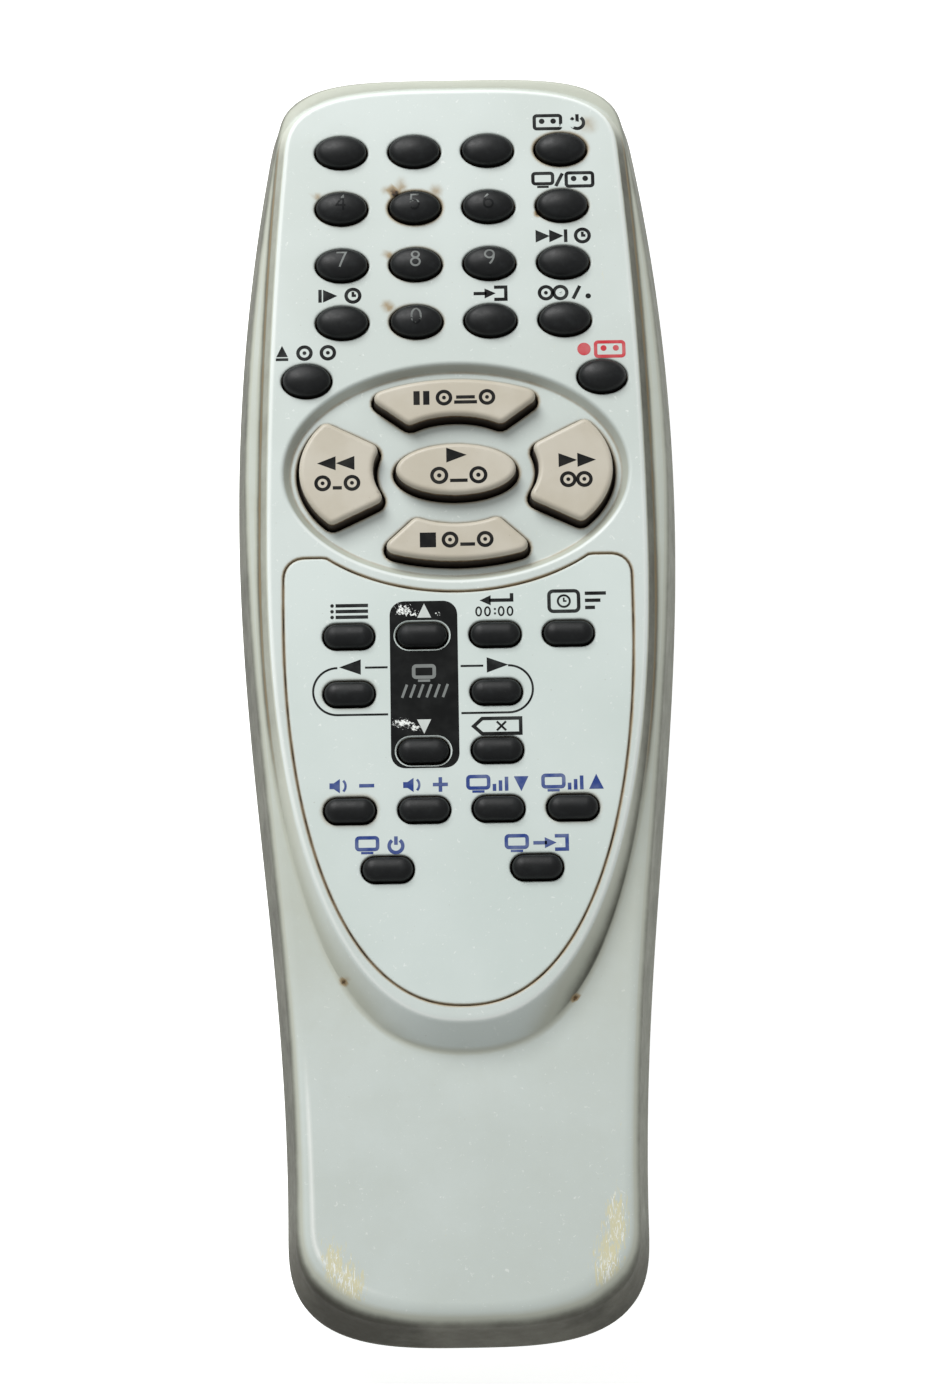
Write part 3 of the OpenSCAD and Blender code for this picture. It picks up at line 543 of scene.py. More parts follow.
def stacked(rings):
    """A closed solid through rings of equal numbers of points, lowest first."""
    count = len(rings[0])
    faces = []
    for row in range(len(rings) - 1):
        a, b = row * count, (row + 1) * count
        faces += [(a + i, a + (i + 1) % count, b + (i + 1) % count, b + i) for i in range(count)]
    top = (len(rings) - 1) * count
    faces += [(a, c, b) for a, b, c in lid(rings[0])]
    faces += [(top + a, top + b, top + c) for a, b, c in lid(rings[-1])]
    return np.vstack(rings), faces


def box_solid(low, high):
    outline = np.array([low[:2], (high[0], low[1]), high[:2], (low[0], high[1])], float)
    return stacked([lifted(outline, low[2]), lifted(outline, high[2])])


def slab(half, along, height):
    """A box symmetric about x = 0, from its half width and its ranges of y and z."""
    return box_solid((-half, along[0], height[0]), (half, along[1], height[1]))


def cylinder_solid(start, stop, radius):
    """A cylinder between two points on a line along y or z."""
    start, stop = np.array(start, float), np.array(stop, float)
    base = oval(2 * radius, 2 * radius, (0, 0), CYLINDER_SIDES)
    points, faces = stacked([lifted(base, 0), lifted(base, np.linalg.norm(stop - start))])
    if start[2] == stop[2]:
        points = points[:, (1, 2, 0)]
    return points + start, faces


def as_mesh(name, shape):
    points, faces = shape
    mesh = bpy.data.meshes.new(name)
    mesh.from_pydata((np.asarray(points) * MM).tolist(), [], [tuple(int(i) for i in f) for f in faces])
    mesh.validate()
    return mesh


def weld(mesh):
    """Joins points that lie on each other and drops the faces that this empties."""
    work = bmesh.new()
    work.from_mesh(mesh)
    bmesh.ops.remove_doubles(work, verts=work.verts, dist=WELD_REACH * MM)
    bmesh.ops.dissolve_degenerate(work, edges=work.edges, dist=WELD_REACH * MM / 10)
    work.to_mesh(mesh)
    work.free()


def add_object(name, data):
    made = bpy.data.objects.new(name, data)
    bpy.context.scene.collection.objects.link(made)
    return made


CUT, JOIN, KEEP = "DIFFERENCE", "UNION", "INTERSECT"


def carve(base, *changes):
    """A mesh with solids cut from it or joined to it, each given as (operation, shape)."""
    target = add_object("carved", base)
    helpers = [target]
    for operation, shape in changes:
        is_mesh = isinstance(shape, bpy.types.Mesh)
        tool = add_object("tool", shape if is_mesh else as_mesh("tool", shape))
        helpers.append(tool)
        change = target.modifiers.new(operation, "BOOLEAN")
        change.operation = operation
        change.solver = "MANIFOLD"
        change.object = tool
    depsgraph = bpy.context.evaluated_depsgraph_get()
    result = bpy.data.meshes.new_from_object(target.evaluated_get(depsgraph))
    for helper in helpers:
        bpy.data.objects.remove(helper)
    return result


def mesh_points(mesh):
    points = np.empty(len(mesh.vertices) * 3)
    mesh.vertices.foreach_get("co", points)
    return points.reshape(-1, 3) / MM


def make_piece(name, mesh, finish, slot, body=HOUSING, stands_for=None, sharp=40, **paints):
    """Puts a mesh into the scene with its finish, its body and its painted measures."""
    mesh.name = name
    mesh.materials.clear()
    mesh.materials.append(finish)
    mesh.shade_smooth()
    mesh.set_sharp_from_angle(angle=radians(sharp))
    for layer, values in paints.items():
        attribute = mesh.attributes.new(layer, "FLOAT", "POINT")
        attribute.data.foreach_set("value", np.full(len(mesh.vertices), values, np.float32))
    piece = add_object(name, mesh)
    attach(piece, body)
    if stands_for:
        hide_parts(stands_for)


# ---- Colours ----


def srgb(red, green, blue):
    """A screen colour of 0 to 255 as the linear colour that shaders use."""
    def linear(value):
        value /= 255
        return value / 12.92 if value <= 0.04045 else ((value + 0.055) / 1.055) ** 2.4
    return (linear(red), linear(green), linear(blue), 1)


CASE_GREY = srgb(205, 214, 210)
CASE_CLOUD = srgb(198, 207, 202)
PANEL_GREY = srgb(208, 218, 214)
PANEL_CLOUD = srgb(201, 212, 207)
# Greys of soil that also serve as painted shade: the pale one starts the greying, the two dark ones
# paint shade on the walls, the slopes and the bottom housing's sides
PALE_SOIL_AND_SHADE = srgb(182, 186, 173)
GREY_SOIL_AND_SHADE = srgb(86, 85, 77)
DARK_SOIL_AND_SHADE = srgb(66, 65, 58)
TAN = srgb(156, 138, 106)
# Browns of dirt; they also paint shade in the openings, below the top and down the keys' sides
BROWN_DIRT_AND_SHADE = srgb(104, 78, 46)
DARK_DIRT_AND_SHADE = srgb(36, 26, 16)
GROOVE_TAN = srgb(132, 114, 88)
GROOVE_BROWN = srgb(58, 46, 32)
YELLOWED = srgb(216, 210, 170)
# White of the flecks; it is also the colour of the painted highlights
FLECK_AND_HIGHLIGHT_WHITE = srgb(240, 244, 240)
SPECK = srgb(150, 140, 120)
RUBBER = srgb(15, 17, 18)
RUBBER_DUSTY = srgb(37, 41, 42)
BEIGE = srgb(195, 189, 174)
BEIGE_CLOUD = srgb(187, 180, 163)
INK_BLACK = srgb(10, 12, 12)
INK_DEEP = srgb(6, 8, 8)
INK_BLUE = srgb(44, 66, 132)
INK_RED = srgb(196, 52, 62)
INK_WHITE = srgb(206, 212, 208)
DIGIT_GREY = srgb(128, 132, 130)

# ---- Finishes ----

# Colour sockets of the Mix node, whose names its other kinds share
COLOUR_A, COLOUR_B, COLOUR_RESULT = 6, 7, 2
INK_ROUGHNESS = 0.5


class Finish:
    """A material built from nodes, with the steps that several finishes share."""

    def __init__(self, name, metallic=0.0, specular=0.5):
        self.material = bpy.data.materials.new(name)
        self.material.use_nodes = True
        self.nodes = self.material.node_tree.nodes
        self.links = self.material.node_tree.links
        self.inputs = self.nodes["Principled BSDF"].inputs
        self.inputs["Metallic"].default_value = metallic
        self.inputs["Specular IOR Level"].default_value = specular
        self.place = self.nodes.new("ShaderNodeTexCoord").outputs["Object"]

    def put(self, socket, value):
        if isinstance(value, bpy.types.NodeSocket):
            self.links.new(value, socket)
        else:
            socket.default_value = value

    def add(self, kind, values, **settings):
        """A new node with its settings and the values or links of its inputs."""
        node = self.nodes.new("ShaderNode" + kind)
        for label, setting in settings.items():
            setattr(node, label, setting)
        for label, value in values.items():
            self.put(node.inputs[label], value)
        return node.outputs

    def noise(self, size, detail=4.0, rough=0.55, stretch=None, warp=0.0):
        """Noise whose features are about size millimetres across."""
        place = self.place
        if stretch:
            place = self.add("Mapping", {"Vector": place, "Scale": stretch})["Vector"]
        return self.add("TexNoise", {
            "Vector": place, "Scale": 1 / (size * MM),
            "Detail": detail, "Roughness": rough, "Distortion": warp,
        })["Fac"]

    def painted(self, layer):
        return self.add("Attribute", {}, attribute_name=layer)["Fac"]

    def math(self, operation, *values):
        return self.add("Math", dict(enumerate(values)), operation=operation)[0]

    def step(self, value, low, high, out_low=0.0, out_high=1.0):
        return self.add("MapRange", {
            "Value": value, "From Min": low, "From Max": high, "To Min": out_low, "To Max": out_high,
        }, interpolation_type="SMOOTHSTEP")["Result"]

    def broken(self, layer, noise, low, high, reach):
        """A painted measure whose border the noise breaks up."""
        around = self.math("SUBTRACT", noise, 0.5)
        return self.step(self.math("MULTIPLY_ADD", around, reach, self.painted(layer)), low, high)

    def blend(self, factor, a, b):
        mixed = self.add("Mix", {"Factor": factor, COLOUR_A: a, COLOUR_B: b}, data_type="RGBA")
        return mixed[COLOUR_RESULT]

    def clouded(self, noise, a, b):
        """Two colours that pass softly into each other."""
        return self.blend(self.step(noise, 0.35, 0.65), a, b)

    def spotted(self, noise, low, high, strength, a, b):
        """A colour with spots of another where the noise is high."""
        return self.blend(self.step(noise, low, high, 0, strength), a, b)

    def relief(self, height, strength, distance):
        """Bumps that are distance millimetres high."""
        values = {"Strength": strength, "Distance": distance * MM, "Height": height}
        self.put(self.inputs["Normal"], self.add("Bump", values)["Normal"])

    def done(self, colour, roughness):
        self.put(self.inputs["Base Color"], colour)
        self.put(self.inputs["Roughness"], roughness)
        return self.material


def worn_plastic(name, clean, cloud, roughness):
    """Light moulded plastic with clouds, flecks, yellowed corners, soil, brown dirt and scratches, with
    painted shade in its soil and dirt and painted highlights on some edges.
    """
    f = Finish(name)
    fine = f.noise(1.1, 5, 0.65)
    mottle = f.noise(5, 6, 0.7)
    colour = f.clouded(f.noise(28, 3), clean, cloud)
    colour = f.spotted(f.noise(0.55, 2), 0.74, 0.8, 0.3, colour, SPECK)
    colour = f.spotted(f.noise(0.7, 3, 0.7, warp=0.6), 0.64, 0.72, 0.5, colour, FLECK_AND_HIGHLIGHT_WHITE)
    # Painted highlights: white laid on along the edges that the highlight measure marks
    colour = f.blend(f.painted("polish"), colour, FLECK_AND_HIGHLIGHT_WHITE)
    streaks = f.noise(0.8, 4, 0.75, (2, 0.35, 1), 0.9)
    strands = f.noise(0.55, 3, 0.7, (2, 0.4, 1), 1.2)
    stained = f.math("MULTIPLY", f.broken("yellow", streaks, 0.36, 0.6, 2.0), 0.9)
    colour = f.blend(stained, colour, YELLOWED)
    colour = f.blend(f.broken("yellow", strands, 0.74, 0.92, 3.0), colour, FLECK_AND_HIGHLIGHT_WHITE)
    # Soil and painted shade: pale grey at first, then a mottled dark grey where the measure is high
    colour = f.blend(f.broken("soil", mottle, 0.02, 0.38, 0.12), colour, PALE_SOIL_AND_SHADE)
    soil_colour = f.clouded(f.noise(11, 3, 0.5), GREY_SOIL_AND_SHADE, DARK_SOIL_AND_SHADE)
    colour = f.blend(f.broken("soil", mottle, 0.38, 1.0, 0.25), colour, soil_colour)
    # Brown dirt with a tan edge; where the measure is high, dark brown that also paints shade in the
    # openings and below the top
    dirt_and_shade_mix = f.broken("grime", fine, 0.45, 0.95, 0.5)
    colour = f.blend(f.broken("grime", mottle, 0.08, 0.55, 0.3), colour, TAN)
    colour = f.blend(dirt_and_shade_mix, colour, f.blend(f.step(fine, 0.42, 0.6), BROWN_DIRT_AND_SHADE, DARK_DIRT_AND_SHADE))
    scratch = f.step(f.noise(0.35, 2, 0.5, (0.12, 1.5, 1), 0.4), 0.7, 0.76)
    rough = f.step(fine, 0.3, 0.7, roughness - 0.05, roughness + 0.07)
    for layer, strength in ((dirt_and_shade_mix, 0.3), (f.painted("soil"), 0.3), (scratch, 0.12)):
        rough = f.math("MULTIPLY_ADD", layer, strength, rough)
    f.put(f.inputs["Specular IOR Level"], f.step(f.painted("soil"), 0.2, 0.8, 0.5, 0.08))
    f.relief(f.math("MULTIPLY_ADD", dirt_and_shade_mix, 1.5, f.noise(0.22, 2, 0.5)), 0.25, 0.012)
    return f.done(colour, rough)


def key_rubber():
    """Black rubber, paler where dust sits in its pores."""
    f = Finish("key_rubber", specular=0.27)
    dust = f.noise(1.6, 6, 0.7)
    colour = f.spotted(dust, 0.45, 0.75, 0.4, RUBBER, RUBBER_DUSTY)
    colour = f.spotted(f.noise(0.3, 2), 0.74, 0.82, 0.35, colour, GREY_SOIL_AND_SHADE)
    # Dark brown on the sides below the deck, inside the openings: painted shade, with some dirt
    colour = f.blend(f.broken("grime", dust, 0.35, 0.9, 0.6), colour, DARK_DIRT_AND_SHADE)
    f.relief(f.noise(0.25, 3), 0.35, 0.015)
    return f.done(colour, f.step(dust, 0.3, 0.7, 0.4, 0.54))


def key_beige():
    """Beige plastic with brown dirt and painted shade down its sides."""
    f = Finish("key_beige")
    fine = f.noise(0.9, 5, 0.65)
    colour = f.clouded(f.noise(9, 4), BEIGE, BEIGE_CLOUD)
    colour = f.spotted(f.noise(0.5, 2), 0.73, 0.8, 0.4, colour, BROWN_DIRT_AND_SHADE)
    # Brown dirt and painted shade down the key's sides, darkest lowest
    dirt_and_shade_mix = f.broken("grime", fine, 0.2, 0.7, 0.35)
    colour = f.blend(dirt_and_shade_mix, colour, f.blend(f.broken("grime", fine, 0.5, 0.9, 0.4), BROWN_DIRT_AND_SHADE, DARK_DIRT_AND_SHADE))
    f.relief(f.noise(0.25, 2), 0.2, 0.012)
    return f.done(colour, f.math("MULTIPLY_ADD", dirt_and_shade_mix, 0.25, f.step(fine, 0.3, 0.7, 0.36, 0.46)))


def ink(name, colour, under, wear=0.05, chip=0.6, ragged=0.9):
    """Printed paint, worn through to what it was printed on."""
    f = Finish(name, specular=0.12)
    chips = f.noise(chip, 5, 0.7, warp=0.4)
    faded = f.spotted(f.noise(3, 3), 0.35, 0.75, wear, colour, under)
    f.relief(chips, 0.1, 0.01)
    return f.done(f.blend(f.broken("wear", chips, 0.62, 0.7, ragged), faded, under),
                  f.step(chips, 0.3, 0.7, INK_ROUGHNESS - 0.05, INK_ROUGHNESS + 0.08))


def plain(name, colour, other, size, roughness, metallic=0.0):
    """Two close colours clouded into each other, with fine relief: for the pieces inside."""
    f = Finish(name, metallic=metallic)
    cloud = f.noise(size)
    f.relief(f.noise(size / 8, 3), 0.3, 0.01)
    return f.done(f.clouded(cloud, colour, other),
                  f.step(cloud, 0.3, 0.7, roughness - 0.06, roughness + 0.08))


CASE = worn_plastic("light_plastic", CASE_GREY, CASE_CLOUD, 0.42)
PANEL = worn_plastic("panel_plastic", PANEL_GREY, PANEL_CLOUD, 0.46)
BASE = worn_plastic("base_plastic", CASE_CLOUD, PANEL_CLOUD, 0.5)
KEY_RUBBER = key_rubber()
KEY_BEIGE = key_beige()
PRINT_BLACK = ink("ink_black", INK_BLACK, PANEL_GREY)
PRINT_PANEL = ink("ink_panel", INK_DEEP, FLECK_AND_HIGHLIGHT_WHITE, wear=0.01, chip=0.35, ragged=2.0)
PRINT_BLUE = ink("ink_blue", INK_BLUE, PANEL_GREY, wear=0.2)
PRINT_RED = ink("ink_red", INK_RED, PANEL_GREY, wear=0.15)
PRINT_WHITE = ink("ink_white", INK_WHITE, INK_BLACK, wear=0.1)
PRINT_GREY = ink("ink_grey", DIGIT_GREY, INK_BLACK, wear=0.15)
PRINT_KEY = ink("ink_key", INK_BLACK, BEIGE, wear=0.03)
DIGIT_INK = ink("ink_digit", DIGIT_GREY, RUBBER, wear=0.5)
GROOVE_DIRT = plain("groove_dirt", GROOVE_TAN, GROOVE_BROWN, 4, 0.7)

# ---- Top housing ----

ALL_DECK_HOLES = {**OVAL_HOLES, **HARD_HOLES}
# Where the rings along the slope's foot, the deck's edge and the dish's edge lie
FOOT_SHARES = (1.3, 1.15, 1.06, 1, 0.93, 0.82, 0.55)
LIP_REACHES = (0.5, 0.32, 0.16, 0, -0.16, -0.32, -0.5, -0.8)
DISH_REACHES = (0.6, 0.4, 0.2, 0, -0.15, -0.32, -0.55, -0.78, -0.95, -1.1, -1.25, -1.45, -1.75)
RAMP_FALL = 9

# How dirty the rim of a key's opening is
DIRT = {"power_key": 0.42, "key_5": 0.45, "key_8": 0.3, "key_0": 0.3, "key_4": 0.25, "tv_vcr_key": 0.25}
PLAIN_DIRT = 0.14
HARD_DIRT = 0.4
# How dirty the gap round the insert, the slope's foot, the dish's foot and the dish's slope are
GAP_DIRT = 0.46
FOOT_DIRT = 0.34
DISH_DIRT = 0.34
DISH_SLOPE_DIRT = 0.13
# Spots of dirt and yellowed patches, each (x, y, strength, half width, half length)
SPOTS = [
    (-8.3, 71.8, 1.2, 0.75, 0.75), (-9.3, 72.2, 0.8, 0.5, 0.5), (-7.4, 72.9, 0.5, 1.1, 1.1),
    (-2.3, 72, 0.45, 1.2, 1.2), (-16.83, -44.5, 1.2, 0.45, 0.45), (15.26, -47.42, 1.2, 0.35, 0.35),
    (12.6, 68.2, 1, 0.5, 0.5), (20.4, 82.2, 0.45, 1.4, 1.4), (-9.3, 62, 0.55, 0.7, 0.7),
    (-9.4, 53.9, 0.6, 0.8, 0.8), (-19.7, 71.4, 0.45, 0.7, 0.7), (-21, 80.5, 0.25, 1, 1),
]
YELLOW_PATCHES = [
    (-18.3, -83, 0.75, 1.8, 3.4), (-16.5, -85.8, 0.75, 2.6, 3.4),
    (18.8, -84, 0.75, 2.2, 5), (20.1, -78.5, 0.75, 1.9, 5),
]
# Zones of the top, as the places along y or x where they begin and where they are full
COLLAR_ZONE = (0, -34)
FRONT_ZONE = (78, 86)
TAIL_ZONE = (-76, -86)
UPPER_ZONE = (-62, -30)
LEFT_ZONE = (-4, -16)
RIGHT_ZONE = (6, 18)


def shoulder_z(y):
    return SHOULDER_TAIL_Z + (SHOULDER_FRONT_Z - SHOULDER_TAIL_Z) * (y - TAIL_Y) / BODY_LENGTH


def slope_width(y):
    """Width of the slope beside the deck, which widens into the collar round its tip."""
    back = np.clip((DECK_WIDE_Y - y) / (DECK_WIDE_Y - DECK_TIP_Y), 0, 1)
    return DECK_SLOPE + (COLLAR_SLOPE - DECK_SLOPE) * back ** 4


class Survey:
    """Distances of points on the top housing from the outlines that shape it."""

    def __init__(self, points):
        self.x, self.y = points.T
        self.inset, self.lean, self.turn = depth(points, BODY, LEAN, TURN)
        self.slope = slope_width(self.y)
        self.lip = depth(points, DECK)
        self.foot = self.lip + self.slope
        self.rim = depth(points, DISH_RIM)
        self.recess = depth(points, INSERT)
        self.holes = clearance(points, list(ALL_DECK_HOLES.values()))


def top_height(points):
    at = Survey(points)
    ridge = shoulder_z(at.y)
    radius = shoulder_radius(at.y)
    wall_top = ridge - radius
    on_wall = PARTING_Z + (wall_top - PARTING_Z) * np.clip(at.inset / at.lean, 0, 1)
    turned = np.clip((at.inset - at.lean) / at.turn, 0, 1)
    body = np.where(at.inset < at.lean, on_wall, wall_top + radius * np.sqrt(1 - (1 - turned) ** 2))
    ramp = DECK_Z + at.lip * (DECK_Z - ridge) / at.slope - RAMP_FALL * np.maximum(-at.foot, 0)
    z = soft_max(body, soft_min(DECK_Z, ramp, LIP_SOFTNESS), FOOT_SOFTNESS)
    z = np.where(at.inset < 0.01, PARTING_Z, z)
    bowl = soft_max(DECK_Z - at.rim * DISH_DEPTH / DISH_SLOPE, DISH_Z, RIM_SOFTNESS)
    z = soft_min(z, bowl, RIM_SOFTNESS) - edge_drop(at.holes.min(0), HOLE_EDGE)
    z -= edge_drop(np.maximum(-at.recess, 0), INSERT_EDGE)
    return np.where(at.recess > 0.01, INSERT_UNDER_Z, z)


def top_underside(points):
    """The hollow: it follows the wall, the shoulder, the deck and the dish."""
    inset, lean, turn = depth(points, BODY, LEAN, TURN)
    ridge = shoulder_z(points[:, 1])
    radius = shoulder_radius(points[:, 1])
    up_wall = np.clip((inset - WALL) / lean, 0, 1)
    round_in = np.clip((inset - WALL - lean) / turn, 0, 1)
    z = PARTING_Z + (ridge - WALL - radius - PARTING_Z) * up_wall + radius * round_in
    z = np.where((depth(points, DECK) > DECK_SLOPE) & (inset > WALL + lean), DECK_UNDER_Z, z)
    return np.where(depth(points, DISH_RIM) > DISH_SLOPE - 0.5, DISH_UNDER_Z, z)


def rings_round(outline, reaches):
    return [offset(outline, reach) for reach in reaches]


def hole_rings(holes):
    """Rings that round off the edge of each opening and pass into the plain surface."""
    return [ring for hole in holes for ring in rings_round(hole, edge_steps(HOLE_EDGE) + [0.5, 0.85])]


def top_rings():
    reaches = [LEAN * i / 6 for i in range(6)]
    reaches += [LEAN + TURN * (1 - cos(angle)) for angle in np.radians(np.linspace(0, 90, 10))]
    reaches += [LEAN + TURN + past for past in (0.12, 0.3, 0.6)]
    slope = slope_width(DECK[:, 1])
    return [
        *rings_round(BODY, [-reach for reach in reaches]),
        *rings_round(DECK, [slope * share for share in FOOT_SHARES]),
        *rings_round(DECK, LIP_REACHES),
        *rings_round(DISH_RIM, DISH_REACHES),
        *hole_rings(ALL_DECK_HOLES.values()),
        *rings_round(INSERT, edge_steps(INSERT_EDGE, 3) + [0.45, -0.02]),
        *PILL_HOLES.values(),
    ]


def top_case():
    loose = grid(BODY, GRID_SPACING)
    at = Survey(loose)
    # Loose points stay clear of the rings
    plain_ground = at.inset > at.lean + at.turn + 0.4
    plain_ground &= (at.lip > 1.2) | (at.lip < -1.3 * at.slope - 0.4)
    plain_ground &= (at.rim < -1) | (at.rim > 2.8)
    plain_ground &= (at.holes.min(0) > 1.3) & (np.abs(at.recess) > 0.8)
    holes = [*ALL_DECK_HOLES.values(), *PILL_HOLES.values()]
    mesh = plate("top", BODY, holes, top_rings(), loose[plain_ground], top_height, top_underside)
    weld(mesh)
    start_y = FRONT_Y - 2 * WALL - FRONT_DRAFT
    bore = cylinder_solid((0, start_y, LAMP_Z), (0, FRONT_Y + 1, LAMP_Z), LAMP_BORE / 2)
    mesh = carve(mesh, (CUT, bore))
    paints = top_paints(mesh_points(mesh))
    make_piece("top_shell", mesh, CASE, "light_plastic", stands_for="top_case", **paints)


def top_paints(points):
    """Brown dirt, soil, yellowing and painted highlights, each from 0 where there is none to about 1;
    the dirt and soil measures also carry painted shade.
    """
    flat = points[:, :2]
    at = Survey(flat)
    collar, front, tail, upper = (
        smooth_step(at.y, *zone) for zone in (COLLAR_ZONE, FRONT_ZONE, TAIL_ZONE, UPPER_ZONE)
    )
    left, right = smooth_step(at.x, *LEFT_ZONE), smooth_step(at.x, *RIGHT_ZONE)
    beyond = at.inset - at.lean
    # Painted shade: what lies below the top surface, the walls of the openings and of the insert's
    # recess, the lamp's bore and the underside, is painted dark brown
    below = smooth_step(top_height(flat) - points[:, 2], 0.25, 0.9)
    on_rim = smooth_step(at.rim, 0.05, 0.35) * smooth_step(DISH_SLOPE + 0.1 - at.rim, 0, 0.35)

    grime = [
        below,
        patches(flat, SPOTS),
        GAP_DIRT * bell(at.recess, 0.27),
        FOOT_DIRT * bell(at.foot, 0.24) * (1 - collar) * (1 - front),
        DISH_DIRT * bell(at.rim - DISH_SLOPE, 0.25),
        DISH_SLOPE_DIRT * on_rim * smooth_step(DISH_Y + 2 - at.y, 0, 12),
    ]
    for row, name in enumerate(ALL_DECK_HOLES):
        strength = DIRT.get(name, HARD_DIRT if name in HARD_HOLES else PLAIN_DIRT)
        grime.append(strength * bell(at.holes[row], 0.25 + 0.55 * strength))

    wall = smooth_step(0.75 * at.turn - beyond, 0, 0.75 * at.turn)
    shoulder = smooth_step(beyond, 0, 0.6) * smooth_step(-at.foot, -0.2, 0.4)
    slope = smooth_step(-at.lip, 0.15, 0.45) * smooth_step(at.foot, -0.25, 0.25)
    across = np.clip(-at.lip / at.slope, 0, 1)
    # Painted shade on the slope: it is greyest beside the keys, and round the tip towards its foot and
    # on the right
    beside_keys = (0.64 + 0.18 * right) * (1 - collar)
    round_tip = (0.06 + 0.24 * left + 0.6 * right) * (0.55 + 0.9 * across ** 2) * collar
    less_at_front = 1 - 0.75 * front
    # Painted shade with some soil: dark on the wall, more at the tail and on the left; dark on the
    # slope and along its foot, less at the front; a light greying on the shoulder, more towards the
    # front, and on the dish's slope, more on its lower half
    soil = [
        wall * (0.76 + 0.08 * left + 0.16 * tail),
        (0.1 + 0.14 * upper * (1 - front) + 0.28 * front) * shoulder,
        (beside_keys + round_tip) * less_at_front * slope,
        (0.85 - 0.52 * collar) * less_at_front * bell(at.foot + 0.05, 0.6),
        (0.24 + 0.12 * smooth_step(DISH_Y - at.y, -6, 6)) * on_rim,
    ]

    # Painted highlights: white lines along the left shoulder edge of the grip, along the deck's lip and
    # along the dish's lower rim
    in_grip = (at.x < 0) * smooth_step(at.y, -88, -84) * smooth_step(-52 - at.y, 0, 14)
    polish = [
        0.9 * bell(beyond - at.turn - 0.1, 0.22) * in_grip,
        0.55 * bell(at.lip - 0.1, 0.2) * smooth_step(at.y, -62, -50),
        0.5 * bell(at.rim + 0.08, 0.2) * smooth_step(DISH_Y - 3 - at.y, 0, 6),
    ]
    return {
        "grime": most(grime), "soil": most(soil), "yellow": patches(flat, YELLOW_PATCHES),
        "polish": most(polish) * (1 - below),
    }


# ---- Insert panel ----

# How dirty the rims of the insert's openings and its edge are
INSERT_DIRT = {"volume_down_key": 0.3, "left_key": 0.22, "tv_channel_up_key": 0.25}
PLAIN_INSERT_DIRT = 0.14
INSERT_EDGE_DIRT = 0.36


def insert_panel():
    edge = spread(offset(INSERT, -INSERT_GAP), 0.7)
    holes = list(PILL_HOLES.values())
    rings = rings_round(edge, [-reach for reach in edge_steps(INSERT_EDGE, 3) + [0.45, 0.8]])
    loose = loose_points(edge, holes, GRID_SPACING, 1.3)

    def height(points):
        z = DECK_Z - edge_drop(depth(points, edge), INSERT_EDGE)
        return z - edge_drop(clearance(points, holes).min(0), HOLE_EDGE)

    mesh = plate("insert", edge, holes, rings + hole_rings(holes), loose, height, level(INSERT_UNDER_Z))
    weld(mesh)
    points = mesh_points(mesh)
    near = clearance(points[:, :2], holes)
    grime = [
        # Painted shade: what lies below the insert's top, the walls of its openings and its underside,
        # is painted dark brown
        smooth_step(DECK_Z - points[:, 2], 0.3, 0.8),
        PLAIN_INSERT_DIRT * bell(near.min(0), 0.35),
        INSERT_EDGE_DIRT * bell(depth(points[:, :2], edge), 0.22),
    ]
    for name, strength in INSERT_DIRT.items():
        grime.append(strength * bell(near[PILL_KEYS.index(name)], 0.6))
    make_piece("insert_plate", mesh, PANEL, "panel_plastic", stands_for="insert_panel",
               grime=most(grime), soil=0, yellow=0, polish=0)


def groove():
    """The dirt that has gathered in the gap round the insert."""
    outer, inner = offset(INSERT, -0.01), offset(INSERT, 0.01 - INSERT_GAP)
    low, high = INSERT_UNDER_Z + 0.02, DECK_Z - GROOVE_DEPTH
    rings = [lifted(inner, low), lifted(inner, high), lifted(outer, high), lifted(outer, low)]
    count = len(outer)
    faces = []
    for row in range(4):
        a, b = row * count, (row + 1) % 4 * count
        faces += [(a + i, b + i, b + (i + 1) % count, a + (i + 1) % count) for i in range(count)]
    mesh = as_mesh("groove", (np.vstack(rings), faces))
    make_piece("insert_groove", mesh, GROOVE_DIRT, "light_plastic")


# ---- Bottom housing and battery door ----

DOOR_THICKNESS = 1.9
DOOR_WIDTH = 31.2
DOOR_GAP = 0.3
DOOR_TONGUE_REACH = 2.4
DOOR_FRONT_Y = node_box("battery_door")[1][1] - DOOR_TONGUE_REACH
RAIL_HALF = DOOR_WIDTH / 2 + 1
RAIL_THICKNESS = 0.9
TONGUE_WIDTH = 3
TONGUE_ROOT = 1.4
TONGUE_WEB = 1.2
TONGUE_THICKNESS = 0.8
RIB_HALF = 7
RIB_PITCH = 2.2
RIB_COUNT = 6
RIB_DEPTH = 0.5
RIB_FRONT_Y = DOOR_FRONT_Y - 8
CELL_DIAMETER = 14.5
CELL_X = 8.1
CELL_Z = node_middle("battery_cells")[2]
CELL_GAP = 0.3
BAY_WALL = 1.6
BAY_FRONT_Y = DOOR_FRONT_Y - 1.3
BAY_TAIL_Y = node_box("battery_plates")[0][1]
BAY_TOP_Z = 14
BAY_RECESS = 2.1
SCREW_Y = node_middle("case_screw")[1]
SCREW_SEAT_Z = node_box("case_screw")[0][2] + 2
SCREW_HEAD = 4.8
SCREW_CLEARANCE = 0.25
SCREW_BORE = 1.5
SCREW_BOSS_WALL = 1.6
RING_COUNT = 420
HOLLOW_RING_COUNT = 120
SEAM_DIRT = 0.5
RIB_DIRT = 0.3


def body_ring(inset, z, count):
    return lifted(spread(body_outline(inset), count=count), z)


def belly_rings(inset, steps, count):
    """Rings of the body's rounded lower edge, moved inwards and upwards by an inset."""
    rings = []
    for angle in np.radians(np.linspace(90, 0, steps)):
        reach = inset + (BELLY_WIDTH - inset) * (1 - cos(angle))
        rings.append(body_ring(reach, inset + (BELLY_HEIGHT - inset) * (1 - sin(angle)), count))
    return rings


